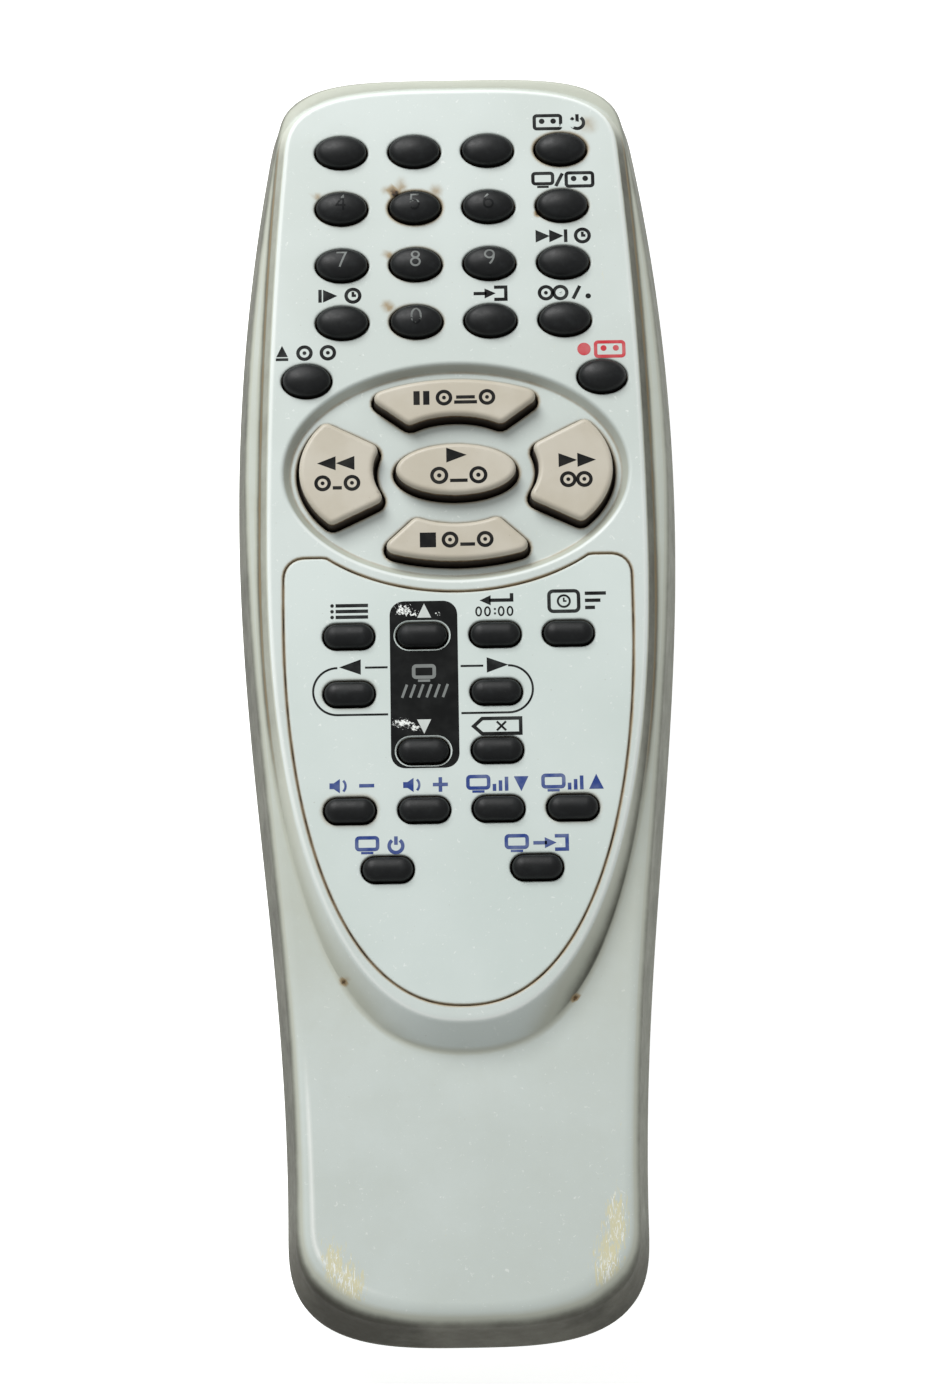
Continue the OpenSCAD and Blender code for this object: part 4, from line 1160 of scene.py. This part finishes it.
def lower_body():
    lip = [body_ring(0, PARTING_Z - SEAM, RING_COUNT), body_ring(SEAM, PARTING_Z, RING_COUNT)]
    return stacked(belly_rings(0, 13, RING_COUNT) + lip)


def lower_hollow():
    mouth = body_ring(WALL, PARTING_Z + 1, HOLLOW_RING_COUNT)
    return stacked(belly_rings(WALL, 4, HOLLOW_RING_COUNT) + [mouth])


# Painted shade with some soil on the bottom housing's rounded edge and sides, growing from 1.5 mm to 7
# mm up
def lower_soil(points):
    return smooth_step(points[:, 2], 1.5, 7) * (depth(points[:, :2], BODY) < BELLY_WIDTH)


# The solids that cut or join end at slightly different places, so that no two of their faces coincide


def battery_bay():
    half = CELL_X + CELL_DIAMETER / 2 + CELL_GAP + BAY_WALL
    block = slab(half, (BAY_TAIL_Y - BAY_WALL, BAY_FRONT_Y + BAY_WALL), (WALL - 0.1, BAY_TOP_Z))
    within = offset(BODY, -WALL - CELL_GAP - LEAN)
    room = stacked([lifted(within, 0), lifted(within, BAY_TOP_Z + 1)])
    return carve(as_mesh("bay", block), (KEEP, room))


def bottom_case():
    half = DOOR_WIDTH / 2 + DOOR_GAP
    groove_half = RAIL_HALF + DOOR_GAP
    front_y = DOOR_FRONT_Y + DOOR_GAP
    recess_y = (BAY_TAIL_Y, BAY_FRONT_Y + BAY_WALL + 1)
    recess_z = (DOOR_THICKNESS, DOOR_THICKNESS + BAY_RECESS)
    groove_z = DOOR_THICKNESS - RAIL_THICKNESS - DOOR_GAP
    seat = SCREW_HEAD / 2 + SCREW_CLEARANCE
    cell = CELL_DIAMETER / 2 + CELL_GAP

    def upright(low, high, radius):
        return cylinder_solid((0, SCREW_Y, low), (0, SCREW_Y, high), radius)

    mesh = carve(
        as_mesh("bottom", lower_body()),
        (CUT, lower_hollow()),
        (JOIN, battery_bay()),
        (JOIN, upright(WALL - 0.1, PARTING_Z + 1.4, seat + SCREW_BOSS_WALL)),
        *((CUT, cylinder_solid((x, BAY_TAIL_Y, CELL_Z), (x, BAY_FRONT_Y, CELL_Z), cell))
          for x in (-CELL_X, CELL_X)),
        (CUT, slab(groove_half, recess_y, recess_z)),
        (CUT, slab(half, (TAIL_Y - 1, front_y), (-1, WALL + 0.01))),
        (CUT, slab(groove_half, (TAIL_Y - 1.1, front_y), (groove_z, WALL + 0.02))),
        (CUT, upright(-1, SCREW_SEAT_Z, seat)),
        (CUT, upright(-1.1, PARTING_Z + 3, SCREW_BORE)),
    )
    points = mesh_points(mesh)
    at_seam = smooth_step(points[:, 2], PARTING_Z - 0.4, PARTING_Z)
    make_piece("bottom_shell", mesh, BASE, "base_plastic", stands_for="bottom_case",
               soil=lower_soil(points), grime=SEAM_DIRT * at_seam, yellow=0, polish=0)


def battery_door():
    inside = slab(DOOR_WIDTH / 2, (TAIL_Y - 1, DOOR_FRONT_Y), (-1, DOOR_THICKNESS))
    rail_z = DOOR_THICKNESS - RAIL_THICKNESS
    rails = slab(RAIL_HALF, (TAIL_Y - 2, DOOR_FRONT_Y), (rail_z, DOOR_THICKNESS - 0.001))
    changes = [(KEEP, carve(as_mesh("door_box", inside), (JOIN, rails)))]
    for i in range(RIB_COUNT):
        y = RIB_FRONT_Y - i * RIB_PITCH
        changes.append((CUT, slab(RIB_HALF, (y, y + RIB_PITCH / 2), (-0.1, RIB_DEPTH))))
    web = WALL + DOOR_GAP
    root = DOOR_FRONT_Y - TONGUE_ROOT
    tip = DOOR_FRONT_Y + DOOR_TONGUE_REACH - 0.4
    for side in (-1, 1):
        x = side * (DOOR_WIDTH / 2 - 0.3 - TONGUE_WIDTH / 2)
        left, right = x - TONGUE_WIDTH / 2, x + TONGUE_WIDTH / 2
        changes += [
            (JOIN, box_solid((left, root, DOOR_THICKNESS - 0.1),
                             (right, root + TONGUE_WEB, web + TONGUE_THICKNESS))),
            (JOIN, box_solid((left, root + 0.001, web), (right, tip, web + TONGUE_THICKNESS - 0.001))),
        ]
    mesh = carve(as_mesh("door", lower_body()), *changes)
    points = mesh_points(mesh)
    x, y, z = points.T
    at_ribs = (np.abs(x) < RIB_HALF + 0.2) & (y > RIB_FRONT_Y - 1 - RIB_COUNT * RIB_PITCH)
    grime = RIB_DIRT * smooth_step(z, 0.1, RIB_DEPTH) * at_ribs
    make_piece("battery_cover", mesh, BASE, "base_plastic", "battery_door", "battery_door",
               soil=lower_soil(points), grime=grime, yellow=0, polish=0)


# ---- Keys ----


def stem_rings(outline, centre, rim, stem_z, flange_z, thickness, clip=None):
    """A key's stem and the flange that keeps it in, as rings with the outline's number of points."""
    direction = outline - centre
    circle = centre + STEM_RADIUS * direction / np.linalg.norm(direction, axis=1)[:, None]
    flange = offset(outline, rim)
    if clip:
        flange[:, 0] = np.clip(flange[:, 0], -clip, clip)
    return [
        lifted(circle, stem_z), lifted(circle, flange_z),
        lifted(flange, flange_z), lifted(flange, flange_z + thickness),
    ]


def make_key(name, rings, finish, slot, dark_below_z, fade, dirt):
    """A key's cap, with brown dirt and painted shade below a height."""
    mesh = as_mesh(name, stacked(rings))
    grime = dirt * smooth_step(dark_below_z - mesh_points(mesh)[:, 2], 0, fade)
    make_piece(name + "_cap", mesh, finish, slot, body=name + "_body", stands_for=name, grime=grime)


def soft_top(half, top_z):
    """Rings of a soft key's cap as (share of its half width, height), from its foot to its crown."""
    radius = min(SOFT_EDGE, half * 0.6)
    crown_half = half - radius * (1 - cos(SOFT_TURN))
    crown = crown_half / tan(SOFT_TURN) / 2
    edge_z = top_z - crown - radius * sin(SOFT_TURN)
    rings = [(1, z) for z in np.linspace(DECK_UNDER_Z - KEY_GAP, edge_z, 4)[:-1]]
    for angle in np.linspace(0, SOFT_TURN, 8):
        rings.append(((half - radius * (1 - cos(angle))) / half, edge_z + radius * sin(angle)))
    for t in (0.85, 0.7, 0.55, 0.4, 0.25, 0.1):
        rings.append((crown_half / half * t, top_z - crown * t ** 2))
    return rings


def soft_key(name, length, width, top_z):
    place = PLACE[name]
    long, short = length - 2 * KEY_GAP, width - 2 * KEY_GAP

    def outline(share):
        if name in PILL_KEYS:
            shrink = (1 - share) * short
            return pill(long - shrink, max(short - shrink, 0.02), place)
        return oval(long * share, short * share, place, OVAL_POINTS)

    thickness = SOFT_FLANGE_THICKNESS
    flange_z = DECK_UNDER_Z - KEY_GAP - thickness
    clip = DECK_WIDTH / 2 - FLANGE_CLIP if name in OUTER_OVAL_KEYS else None
    rings = stem_rings(outline(1), place, KEY_GAP + KEY_FLANGE, STEM_Z, flange_z, thickness, clip)
    rings += [lifted(outline(share), z) for share, z in soft_top(short / 2, top_z)]
    make_key(name, rings, KEY_RUBBER, "key_rubber", DECK_Z + 0.25, 0.5, 0.9)


def hard_key(name, shape):
    thickness = HARD_FLANGE_THICKNESS
    flange_z = DISH_UNDER_Z - KEY_GAP - thickness
    rings = stem_rings(shape, HARD_CENTRES[name], KEY_FLANGE, HARD_STEM_Z, flange_z, thickness)
    edge_z = HARD_TOP_Z - HARD_EDGE
    for z in np.linspace(DISH_UNDER_Z, edge_z, 5)[:-1]:
        share = (z - DISH_UNDER_Z) / (edge_z - DISH_UNDER_Z)
        rings.append(lifted(offset(shape, -HARD_DRAFT * share), z))
    for angle in np.radians(np.linspace(0, 90, 9)):
        inset = HARD_DRAFT + HARD_EDGE * (1 - cos(angle))
        rings.append(lifted(offset(shape, -inset), edge_z + HARD_EDGE * sin(angle)))
    rings.append(lifted(offset(shape, -HARD_DRAFT - HARD_EDGE - 0.12), HARD_TOP_Z))
    make_key(name, rings, KEY_BEIGE, "key_beige", HARD_TOP_Z - 0.3, 0.8, 1)


def keys():
    for name, length in OVAL_LENGTHS.items():
        soft_key(name, length, OVAL_WIDTH, OVAL_TOP_Z)
    for name in PILL_KEYS:
        soft_key(name, PILL_LENGTH, PILL_WIDTH, PILL_TOP_Z)
    for name, shape in HARD_SHAPES.items():
        hard_key(name, shape)


# ---- Signs: plain pictograms where the photographed object has words ----

LINE = 0.5
THIN = 0.3


def stroke_sides(line, width, closed):
    """The left and right edges of a stroke, mitred at its corners."""
    before = np.roll(line, 1, axis=0)
    after = np.roll(line, -1, axis=0)
    if not closed:
        before[0] = 2 * line[0] - line[1]
        after[-1] = 2 * line[-1] - line[-2]
    come, go = line - before, after - line
    come /= np.linalg.norm(come, axis=1)[:, None]
    go /= np.linalg.norm(go, axis=1)[:, None]
    along = come + go
    along /= np.linalg.norm(along, axis=1)[:, None]
    left = np.column_stack([-along[:, 1], along[:, 0]])
    reach = width / 2 / np.maximum((along * go).sum(1), 0.5)
    return line + left * reach[:, None], line - left * reach[:, None]


def denser(line, spacing):
    """A line with points added, so that it follows a curved surface."""
    parts = [line[:1]]
    for start, stop in zip(line[:-1], line[1:]):
        steps = max(1, ceil(np.linalg.norm(stop - start) / spacing))
        parts.append(start + (stop - start) * (np.arange(1, steps + 1) / steps)[:, None])
    return np.vstack(parts)


class Signs:
    """Thin marks on one surface, gathered into one mesh."""

    def __init__(self, surface, layer):
        self.solids = []
        self.curved = surface is not None
        surface = surface or level(DECK_Z)
        self.low = lambda flat: surface(flat) - PRINT_HEIGHT
        self.high = lambda flat: surface(flat) + layer * PRINT_HEIGHT

    def fill(self, outline):
        outline = np.array(outline, float)
        self.solids.append(stacked([lifted(outline, self.low), lifted(outline, self.high)]))

    def stroke(self, line, width=LINE, closed=False):
        line = np.array(line, float)
        if self.curved and not closed:
            line = denser(line, 0.25)
        left, right = stroke_sides(line, width, closed)
        around = ((left, self.low), (right, self.low), (right, self.high), (left, self.high))
        sides = [lifted(edge, height) for edge, height in around]
        count = len(line)
        faces = []
        for i in range(count if closed else count - 1):
            a, b = 4 * i, 4 * ((i + 1) % count)
            faces += [(a + k, b + k, b + (k + 1) % 4, a + (k + 1) % 4) for k in range(4)]
        if not closed:
            last = 4 * (count - 1)
            faces += [(0, 1, 2, 3), (last + 3, last + 2, last + 1, last)]
        self.solids.append((np.stack(sides, axis=1).reshape(-1, 3), faces))

    def mesh(self, name):
        points, faces, start = [], [], 0
        for solid_points, solid_faces in self.solids:
            points.append(solid_points)
            faces += [tuple(start + i for i in face) for face in solid_faces]
            start += len(solid_points)
        return as_mesh(name, (np.vstack(points), faces))


def print_signs(name, finish, marks, worn=(), least=0.0, surface=None, layer=1,
                key=None, slot="light_plastic"):
    """One piece of marks, each (pictogram, its numbers), on a key if one is named."""
    signs = Signs(surface, layer)
    for pictogram, *numbers in marks:
        pictogram(signs, *numbers)
    mesh = signs.mesh(name)
    points = mesh_points(mesh)
    wear = worn(points) if callable(worn) else patches(points, worn, least)
    body = key + "_body" if key else HOUSING
    make_piece(name, mesh, finish, slot, body, sharp=PRINT_SHARP, wear=wear)


# A pictogram draws itself on signs, about a middle (x, y). Each is about 2 mm high.

stroke = Signs.stroke


def triangle(signs, x, y, turn, size=1.6, stretch=1.0):
    """A filled triangle that points along turn, in degrees."""
    c, s = cos(radians(turn)), sin(radians(turn))
    tail, tip, half = -0.6 * size * stretch, 0.7 * size * stretch, 0.62 * size
    corners = [(tail, -half), (tip, 0), (tail, half)]
    signs.fill([(x + c * u - s * v, y + s * u + c * v) for u, v in corners])


def block(signs, x, y, width, height):
    half, tall = width / 2, height / 2
    signs.fill([(x - half, y - tall), (x + half, y - tall), (x + half, y + tall), (x - half, y + tall)])


def ring(signs, x, y, radius, width=LINE):
    signs.stroke(oval(2 * radius, 2 * radius, (x, y), 28), width, closed=True)


def dot(signs, x, y, radius):
    signs.fill(oval(2 * radius, 2 * radius, (x, y), 20))


def frame_box(signs, x, y, low, high, corner, steps=3):
    """A rounded frame between two corners seen from (x, y)."""
    low, high = (x + low[0], y + low[1]), (x + high[0], y + high[1])
    signs.stroke(rounded_box(low, high, corner, steps), LINE, closed=True)


def cassette(signs, x, y, size=1.0):
    frame_box(signs, x, y, (-1.95 * size, -1.05 * size), (1.95 * size, 1.05 * size), 0.35 * size)
    for side in (-1, 1):
        dot(signs, x + side * 0.85 * size, y + 0.15 * size, 0.42 * size)


def reels(signs, x, y, width, radius=0.95):
    """Two reels with the tape between them."""
    reach = width / 2 - radius - LINE / 2
    for side in (-1, 1):
        ring(signs, x + side * reach, y, radius)
        dot(signs, x + side * reach, y, 0.3 * radius)
    between = 2 * (reach - radius - LINE)
    if between > 0.5:
        block(signs, x, y - 0.75 * radius, between, LINE)
    if between > 2.5:
        block(signs, x, y + 0.05 * radius, between - 0.6, LINE)


def screen(signs, x, y):
    frame_box(signs, x, y, (-1.45, -0.6), (1.45, 1.05), 0.35)
    block(signs, x, y - 1.1, 1.7, 0.34)


def power(signs, x, y):
    signs.stroke(arc(1.9, 1.9, 125, 415, 20, (x, y - 0.15)))
    block(signs, x, y + 0.6, LINE, 1.2)


def clock(signs, x, y, radius=1.0, width=LINE):
    ring(signs, x, y, radius, width)
    signs.stroke([(x, y + 0.6 * radius), (x, y), (x + 0.45 * radius, y)], 0.8 * width)


def framed_clock(signs, x, y):
    frame_box(signs, x, y, (-2.1, -1.5), (2.1, 1.5), 0.6, 4)
    clock(signs, x, y, 0.85, THIN)


def inlet(signs, x, y):
    """An arrow into a box."""
    block(signs, x - 2.05, y, 1.9, LINE)
    triangle(signs, x - 0.65, y, 0, 1.25)
    signs.stroke([(x, y + 0.95), (x + 1.7, y + 0.95), (x + 1.7, y - 0.95), (x, y - 0.95)])


def volume(signs, x, y, louder):
    """A loudspeaker with a minus or a plus."""
    cone = [(-1.2, -0.42), (-0.6, -0.42), (0.25, -1.02), (0.25, 1.02), (-0.6, 0.42), (-1.2, 0.42)]
    signs.fill([(x - 1.7 + u, y + v) for u, v in cone])
    signs.stroke(arc(2.2, 2.2, -45, 45, 8, (x - 1.75, y)), 0.34)
    block(signs, x + 2.3, y, 2.1, LINE)
    if louder:
        for side in (1, -1):
            block(signs, x + 2.3, y + side * 0.63, LINE, 0.83)


def channel(signs, x, y, turn):
    """A screen, three bars that grow and the way they are stepped through."""
    screen(signs, x - 2.6, y)
    for i in range(3):
        block(signs, x - 0.35 + 0.85 * i, y - 0.55 + 0.25 * i, LINE, 1.0 + 0.5 * i)
    triangle(signs, x + 3.4, y, turn, 1.65)


def menu(signs, x, y):
    """Three lines of a list."""
    for i in range(3):
        dot(signs, x - 2.8, y - 0.85 * i, 0.26)
        block(signs, x, y - 0.85 * i, 4.6, LINE)


def cross(signs, x, y, reach):
    signs.stroke([(x - reach, y - reach), (x + reach, y + reach)], THIN)
    signs.stroke([(x - reach, y + reach), (x - 0.12, y + 0.12)], THIN)
    signs.stroke([(x + 0.12, y - 0.12), (x + reach, y - reach)], THIN)


# A numeral's lines in a cell 0.62 wide and 1 high, each (points, closed)
NUMERALS = {
    0: [(oval(0.58, 1, (0.31, 0.5), 24), True)],
    4: [([(0.45, 0), (0.45, 1), (0.02, 0.32), (0.6, 0.32)], False)],
    5: [([(0.56, 1), (0.1, 1), (0.06, 0.5), *arc(0.56, 0.6, 100, -140, 14, (0.3, 0.3))], False)],
    6: [(oval(0.56, 0.56, (0.31, 0.28), 20), True), (arc(0.9, 1.4, 178, 112, 8, (0.48, 0.3)), False)],
    7: [([(0, 1), (0.6, 1), (0.2, 0)], False)],
    8: [(oval(0.46, 0.44, (0.31, 0.77), 18), True), (oval(0.56, 0.5, (0.31, 0.26), 20), True)],
    9: [(oval(0.56, 0.56, (0.31, 0.72), 20), True), (arc(0.9, 1.4, -2, -68, 8, (0.14, 0.7)), False)],
}


def numeral(signs, x, y, digit, height, width):
    """A digit whose lower left corner is at (x, y)."""
    for line, closed in NUMERALS[digit]:
        signs.stroke((x, y) + height * np.array(line), width, closed)


# The loops from the channel field round the left and the right key
LOOP_Y = -3.93
LOOP_RADIUS = 3.43
LOOP_HIGH, LOOP_LOW = LOOP_Y + LOOP_RADIUS, LOOP_Y - LOOP_RADIUS


def loop(signs, start_x, stop_x, bend_x, turn):
    """A line that leaves the field above a key, and one that comes back round its end."""
    bend = arc(2 * LOOP_RADIUS, 2 * LOOP_RADIUS, 90, turn, 24, (bend_x, LOOP_Y))
    signs.stroke([(start_x, LOOP_HIGH), (stop_x, LOOP_HIGH)], THIN)
    signs.stroke([*bend, (start_x, LOOP_LOW)], THIN)


BLACK_MARKS = [
    # Beside the number keys
    (cassette, 14.4, 82.75), (power, 18.8, 82.75),
    (screen, 13.5, 73.5), (stroke, [(15.4, 72.5), (16.4, 74.5)]), (cassette, 18.9, 73.5),
    (triangle, 13.2, 64.6, 0), (triangle, 15.2, 64.6, 0), (block, 16.65, 64.6, 0.5, 2),
    (clock, 19.1, 64.6),
    (block, -19.4, 55.75, 0.5, 2), (triangle, -18, 55.75, 0), (clock, -14.6, 55.75), (inlet, 6, 55.75),
    (reels, 14.6, 55.7, 4.5), (stroke, [(17.5, 54.7), (18.5, 56.7)]), (dot, 19.7, 55.1, 0.4),
    # Above the dish's left end
    (triangle, -24.95, 47.2, 90, 1.35), (block, -24.95, 46.0, 1.8, 0.42), (reels, -20, 46.95, 5.8),
    # On the insert: a list, an arrow with a counter, and a clock with lines
    (menu, -15.1, 8.65),
    (stroke, [(7.6, 10.1), (7.6, 9.1), (4.4, 9.1)]), (triangle, 3.9, 9.1, 180, 1.2),
    *((numeral, 2.5 + 1.25 * i + 0.7 * (i > 1), 6.85, 0, 1.25, 0.24) for i in range(4)),
    (block, 5.2, 7.15, 0.28, 0.28), (block, 5.2, 7.8, 0.28, 0.28),
    (framed_clock, 15, 8.8),
    *((block, 19.5 - 0.4 * i, 9.9 - 1.05 * i, 3 - 0.8 * i, 0.5) for i in range(3)),
    # Round the left and the right key, and above clear_key
    (triangle, -15.3, -0.4, 180, 1.8, 1.3), (triangle, 5.3, -0.4, 0, 1.8, 1.3),
    (loop, -10.1, -13.3, -17.2, 270), (loop, 0.2, 3.4, 6.9, -90),
    (stroke, [(1.9, -9.3), (3.1, -8.2), (8.5, -8.2), (8.5, -10.4), (3.1, -10.4)], LINE, True),
    (cross, 5.8, -9.3, 0.65),
]
# Where the print is rubbed off: (x, y, strength, half width, half length)
BLACK_WORN = [(17.4, 82.4, 0.95, 2.6, 1.1), (15.6, 55.7, 0.8, 0.9, 0.9)]
BLUE_MARKS = [
    (volume, -15.5, -17.6, False), (volume, -5.2, -17.6, True),
    (channel, 5, -17.6, -90), (channel, 15.5, -17.6, 90),
    (screen, -13.2, -26.1), (power, -9.2, -26.1), (screen, 7.6, -26.15), (inlet, 12.9, -26.15),
]
RED_MARKS = [(dot, 18.87, 46.86, 0.98), (cassette, 22.6, 46.8, 1.05)]

CHANNEL_LOW, CHANNEL_HIGH = (-9.75, -15.2), (-0.15, 9.15)
CHANNEL_CORNER = 2
CHANNEL_RIM = 0.25
CHANNEL_WORN = [
    (-7.9, 7.9, 0.8, 1.9, 1.1), (-6.6, 7.2, 0.7, 1.5, 0.7), (-8, -8.6, 0.8, 1.9, 1.0),
    (-6.4, -9.3, 0.75, 1.8, 0.7), (-3.0, 7.2, 0.65, 0.8, 0.6),
]
CHANNEL_ARROWS = [(triangle, -4.85, 7.65, 90, 1.6), (triangle, -5.05, -9.15, -90, 1.6)]
# A screen over the slanted lines of a badly tracked picture
CHANNEL_MARKS = [
    (screen, -4.98, -1.45),
    *((stroke, [(-8.1 + 1.15 * i, -5), (-7.4 + 1.15 * i, -3.1)], 0.36) for i in range(6)),
]

# The marks of a tape's movements, each on its own key
HARD_KEY_MARKS = {
    "pause_key": [
        (block, -5.5, 39.3, 0.9, 2.1), (block, -4.1, 39.3, 0.9, 2.1), (reels, 1.55, 39.3, 8.6),
    ],
    "rewind_key": [
        (triangle, -18.45, 29.6, 180, 1.7, 1.2), (triangle, -15.75, 29.6, 180, 1.7, 1.2),
        (reels, -17, 26.6, 6.6),
    ],
    "stop_key": [(block, -4.15, 17.85, 2.3, 2.2), (reels, 1.5, 17.85, 7.4)],
    "fast_forward_key": [
        (triangle, 15.95, 29.5, 0, 1.7, 1.2), (triangle, 18.65, 29.5, 0, 1.7, 1.2),
        (reels, 17.2, 26.6, 4.7),
    ],
    "play_key": [(triangle, 0, 30.55, 0, 1.8, 1.25), (reels, 0.4, 27.5, 8.2, 1.05)],
}
DIGIT_HEIGHT = 2.3
DIGIT_LINE = 0.28
# A numeral's lower left corner, seen from its key's middle
DIGIT_CORNER = (-0.31 * DIGIT_HEIGHT, 0.35 - DIGIT_HEIGHT / 2)
# How much of each numeral has worn away, from none (0) to all (1), at its top and at its foot
DIGIT_WEAR = {
    7: (0.4, 0.45), 8: (0.5, 0.45), 9: (0.4, 0.7), 0: (0.4, 0.8),
    5: (0.55, 0.75), 4: (0.6, 1.2), 6: (0.5, 1.1),
}


def channel_panel():
    """The worn black field behind the two channel keys."""
    edge = spread(rounded_box(CHANNEL_LOW, CHANNEL_HIGH, CHANNEL_CORNER), 0.35)
    keys_inside = ("channel_up_key", "channel_down_key")
    holes = [spread(offset(PILL_HOLES[name], CHANNEL_RIM), 0.3) for name in keys_inside]
    loose = loose_points(edge, holes, 0.4, 0.25)
    top, under = level(DECK_Z + PRINT_HEIGHT), level(DECK_Z - PRINT_HEIGHT)
    mesh = plate("channel", edge, holes, [edge] + holes, loose, top, under)
    make_piece("channel_print", mesh, PRINT_PANEL, "light_plastic", sharp=PRINT_SHARP,
               wear=patches(mesh_points(mesh), CHANNEL_WORN, 0.1))


def oval_key_top(place):
    """Height of a soft oval key's domed top over points."""
    long, short = OVAL_LENGTH / 2 - KEY_GAP, OVAL_WIDTH / 2 - KEY_GAP
    shares, heights = zip(*soft_top(short, OVAL_TOP_Z)[::-1])

    def height(flat):
        reach = np.hypot((flat[:, 0] - place[0]) / long, (flat[:, 1] - place[1]) / short)
        return np.interp(reach, shares, heights)

    return height


def key_digit(digit, top_wear, foot_wear):
    name = f"key_{digit}"
    place = PLACE[name]
    x, foot = place + DIGIT_CORNER

    def wear(points):
        up = np.clip((points[:, 1] - foot) / DIGIT_HEIGHT, 0, 1)
        return foot_wear + (top_wear - foot_wear) * up

    print_signs(name + "_digit", DIGIT_INK, [(numeral, x, foot, digit, DIGIT_HEIGHT, DIGIT_LINE)],
                worn=wear, surface=oval_key_top(place), key=name, slot="key_rubber")


top_case()
groove()
insert_panel()
bottom_case()
battery_door()
keys()
print_signs("print_black", PRINT_BLACK, BLACK_MARKS, BLACK_WORN, 0.12)
print_signs("print_blue", PRINT_BLUE, BLUE_MARKS)
print_signs("print_red", PRINT_RED, RED_MARKS)
channel_panel()
print_signs("channel_arrows", PRINT_WHITE, CHANNEL_ARROWS, layer=2)
print_signs("channel_marks", PRINT_GREY, CHANNEL_MARKS, layer=2)
for name, marks in HARD_KEY_MARKS.items():
    print_signs(name + "_sign", PRINT_KEY, marks, surface=level(HARD_TOP_Z), key=name, slot="key_beige")
for digit, wear in DIGIT_WEAR.items():
    key_digit(digit, *wear)

# ---- Pieces inside, and the screw and the lamp ----

# Each (finish, its two colours, size of the clouds, roughness, metallic)
INNER_FINISHES = {
    "keypad_mat": ("mat_rubber", (64, 68, 70), (54, 58, 60), 6, 0.6, 0),
    "circuit_board": ("board_laminate", (150, 112, 58), (132, 96, 46), 9, 0.45, 0),
    "contact_pads": ("carbon_print", (34, 34, 34), (22, 22, 22), 1, 0.7, 0),
    "controller_chip": ("black_epoxy", (32, 32, 33), (24, 24, 25), 1, 0.5, 0),
    "resonator": ("ceramic_orange", (216, 138, 52), (200, 120, 40), 2, 0.35, 0),
    "capacitor": ("sleeve_blue", (36, 52, 92), (28, 42, 80), 4, 0.3, 0),
    "driver_transistor": ("transistor_epoxy", (30, 30, 30), (22, 22, 22), 1, 0.5, 0),
    "resistors": ("resistor_lacquer", (206, 176, 132), (190, 158, 112), 2, 0.4, 0),
    "ir_lamp": ("lamp_epoxy", (58, 52, 70), (44, 40, 56), 3, 0.12, 0),
    "battery_cells": ("cell_jacket", (48, 84, 70), (38, 72, 58), 8, 0.35, 0.3),
    "battery_springs": ("spring_metal", (196, 196, 192), (178, 176, 168), 2, 0.25, 1),
    "battery_plates": ("contact_metal", (204, 202, 196), (186, 182, 172), 3, 0.28, 1),
    "case_screw": ("screw_steel", (150, 150, 150), (128, 126, 124), 1, 0.3, 1),
}
for node, (name, colour, other, size, roughness, metallic) in INNER_FINISHES.items():
    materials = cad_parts[node].data.materials
    materials.clear()
    materials.append(plain(name, srgb(*colour), srgb(*other), size, roughness, metallic))

# ---- Floor, light and camera ----

TILT = radians(14.76)
ROLL = radians(-0.97)
CAMERA_DISTANCE = 430
AIM = Vector((0.62, -4.3, DECK_Z))
SENSOR = 36
PHOTO_HEIGHT = 1384
FOCAL_PIXELS = 3053
# The floor shines a little, like a light table, which keeps the background white
FLOOR_GLOW = 0.6
FLOOR_HALF = 1500
FLOOR_THICKNESS = 4
WHITE = (1, 1, 1, 1)
SKY_STRENGTH = 0.46
# The lamp's place and what it shines on are in metres
LIGHT_PLACE = Vector((-0.3, 0.68, 0.68))
LIGHT_AIM = Vector((0, 0.02, 0))
LIGHT_SIZE = 0.5
LIGHT_POWER = 9


def camera():
    forward = Vector((0, sin(TILT), -cos(TILT)))
    up = Vector((0, cos(TILT), sin(TILT)))
    right = Vector((1, 0, 0))
    turned_right = cos(ROLL) * right + sin(ROLL) * up
    turned_up = -sin(ROLL) * right + cos(ROLL) * up
    data = bpy.data.cameras.new("camera")
    data.sensor_width = SENSOR
    data.lens = SENSOR * FOCAL_PIXELS / PHOTO_HEIGHT
    data.clip_start = 0.01
    view = add_object("camera", data)
    turn = Matrix((turned_right, turned_up, -forward)).transposed().to_4x4()
    view.matrix_world = Matrix.Translation((AIM - CAMERA_DISTANCE * forward) * MM) @ turn
    bpy.context.scene.camera = view


def studio():
    paper = plain("paper", srgb(250, 250, 250), srgb(246, 246, 246), 60, 0.9)
    glow = paper.node_tree.nodes["Principled BSDF"].inputs
    glow["Emission Color"].default_value = WHITE
    glow["Emission Strength"].default_value = FLOOR_GLOW
    sheet = slab(FLOOR_HALF, (-FLOOR_HALF, FLOOR_HALF), (-FLOOR_THICKNESS, 0))
    floor = add_object("floor", as_mesh("floor", sheet))
    floor.data.materials.append(paper)
    world = bpy.data.worlds.new("world")
    world.use_nodes = True
    sky = world.node_tree.nodes["Background"].inputs
    sky["Color"].default_value = WHITE
    sky["Strength"].default_value = SKY_STRENGTH
    bpy.context.scene.world = world
    lamp = bpy.data.lights.new("main_light", "AREA")
    lamp.shape = "RECTANGLE"
    lamp.size = lamp.size_y = LIGHT_SIZE
    lamp.energy = LIGHT_POWER
    light = add_object("main_light", lamp)
    light.location = LIGHT_PLACE
    light.rotation_euler = (LIGHT_AIM - LIGHT_PLACE).to_track_quat("-Z", "Y").to_euler()
    bpy.context.scene.view_settings.view_transform = "Standard"


camera()
studio()
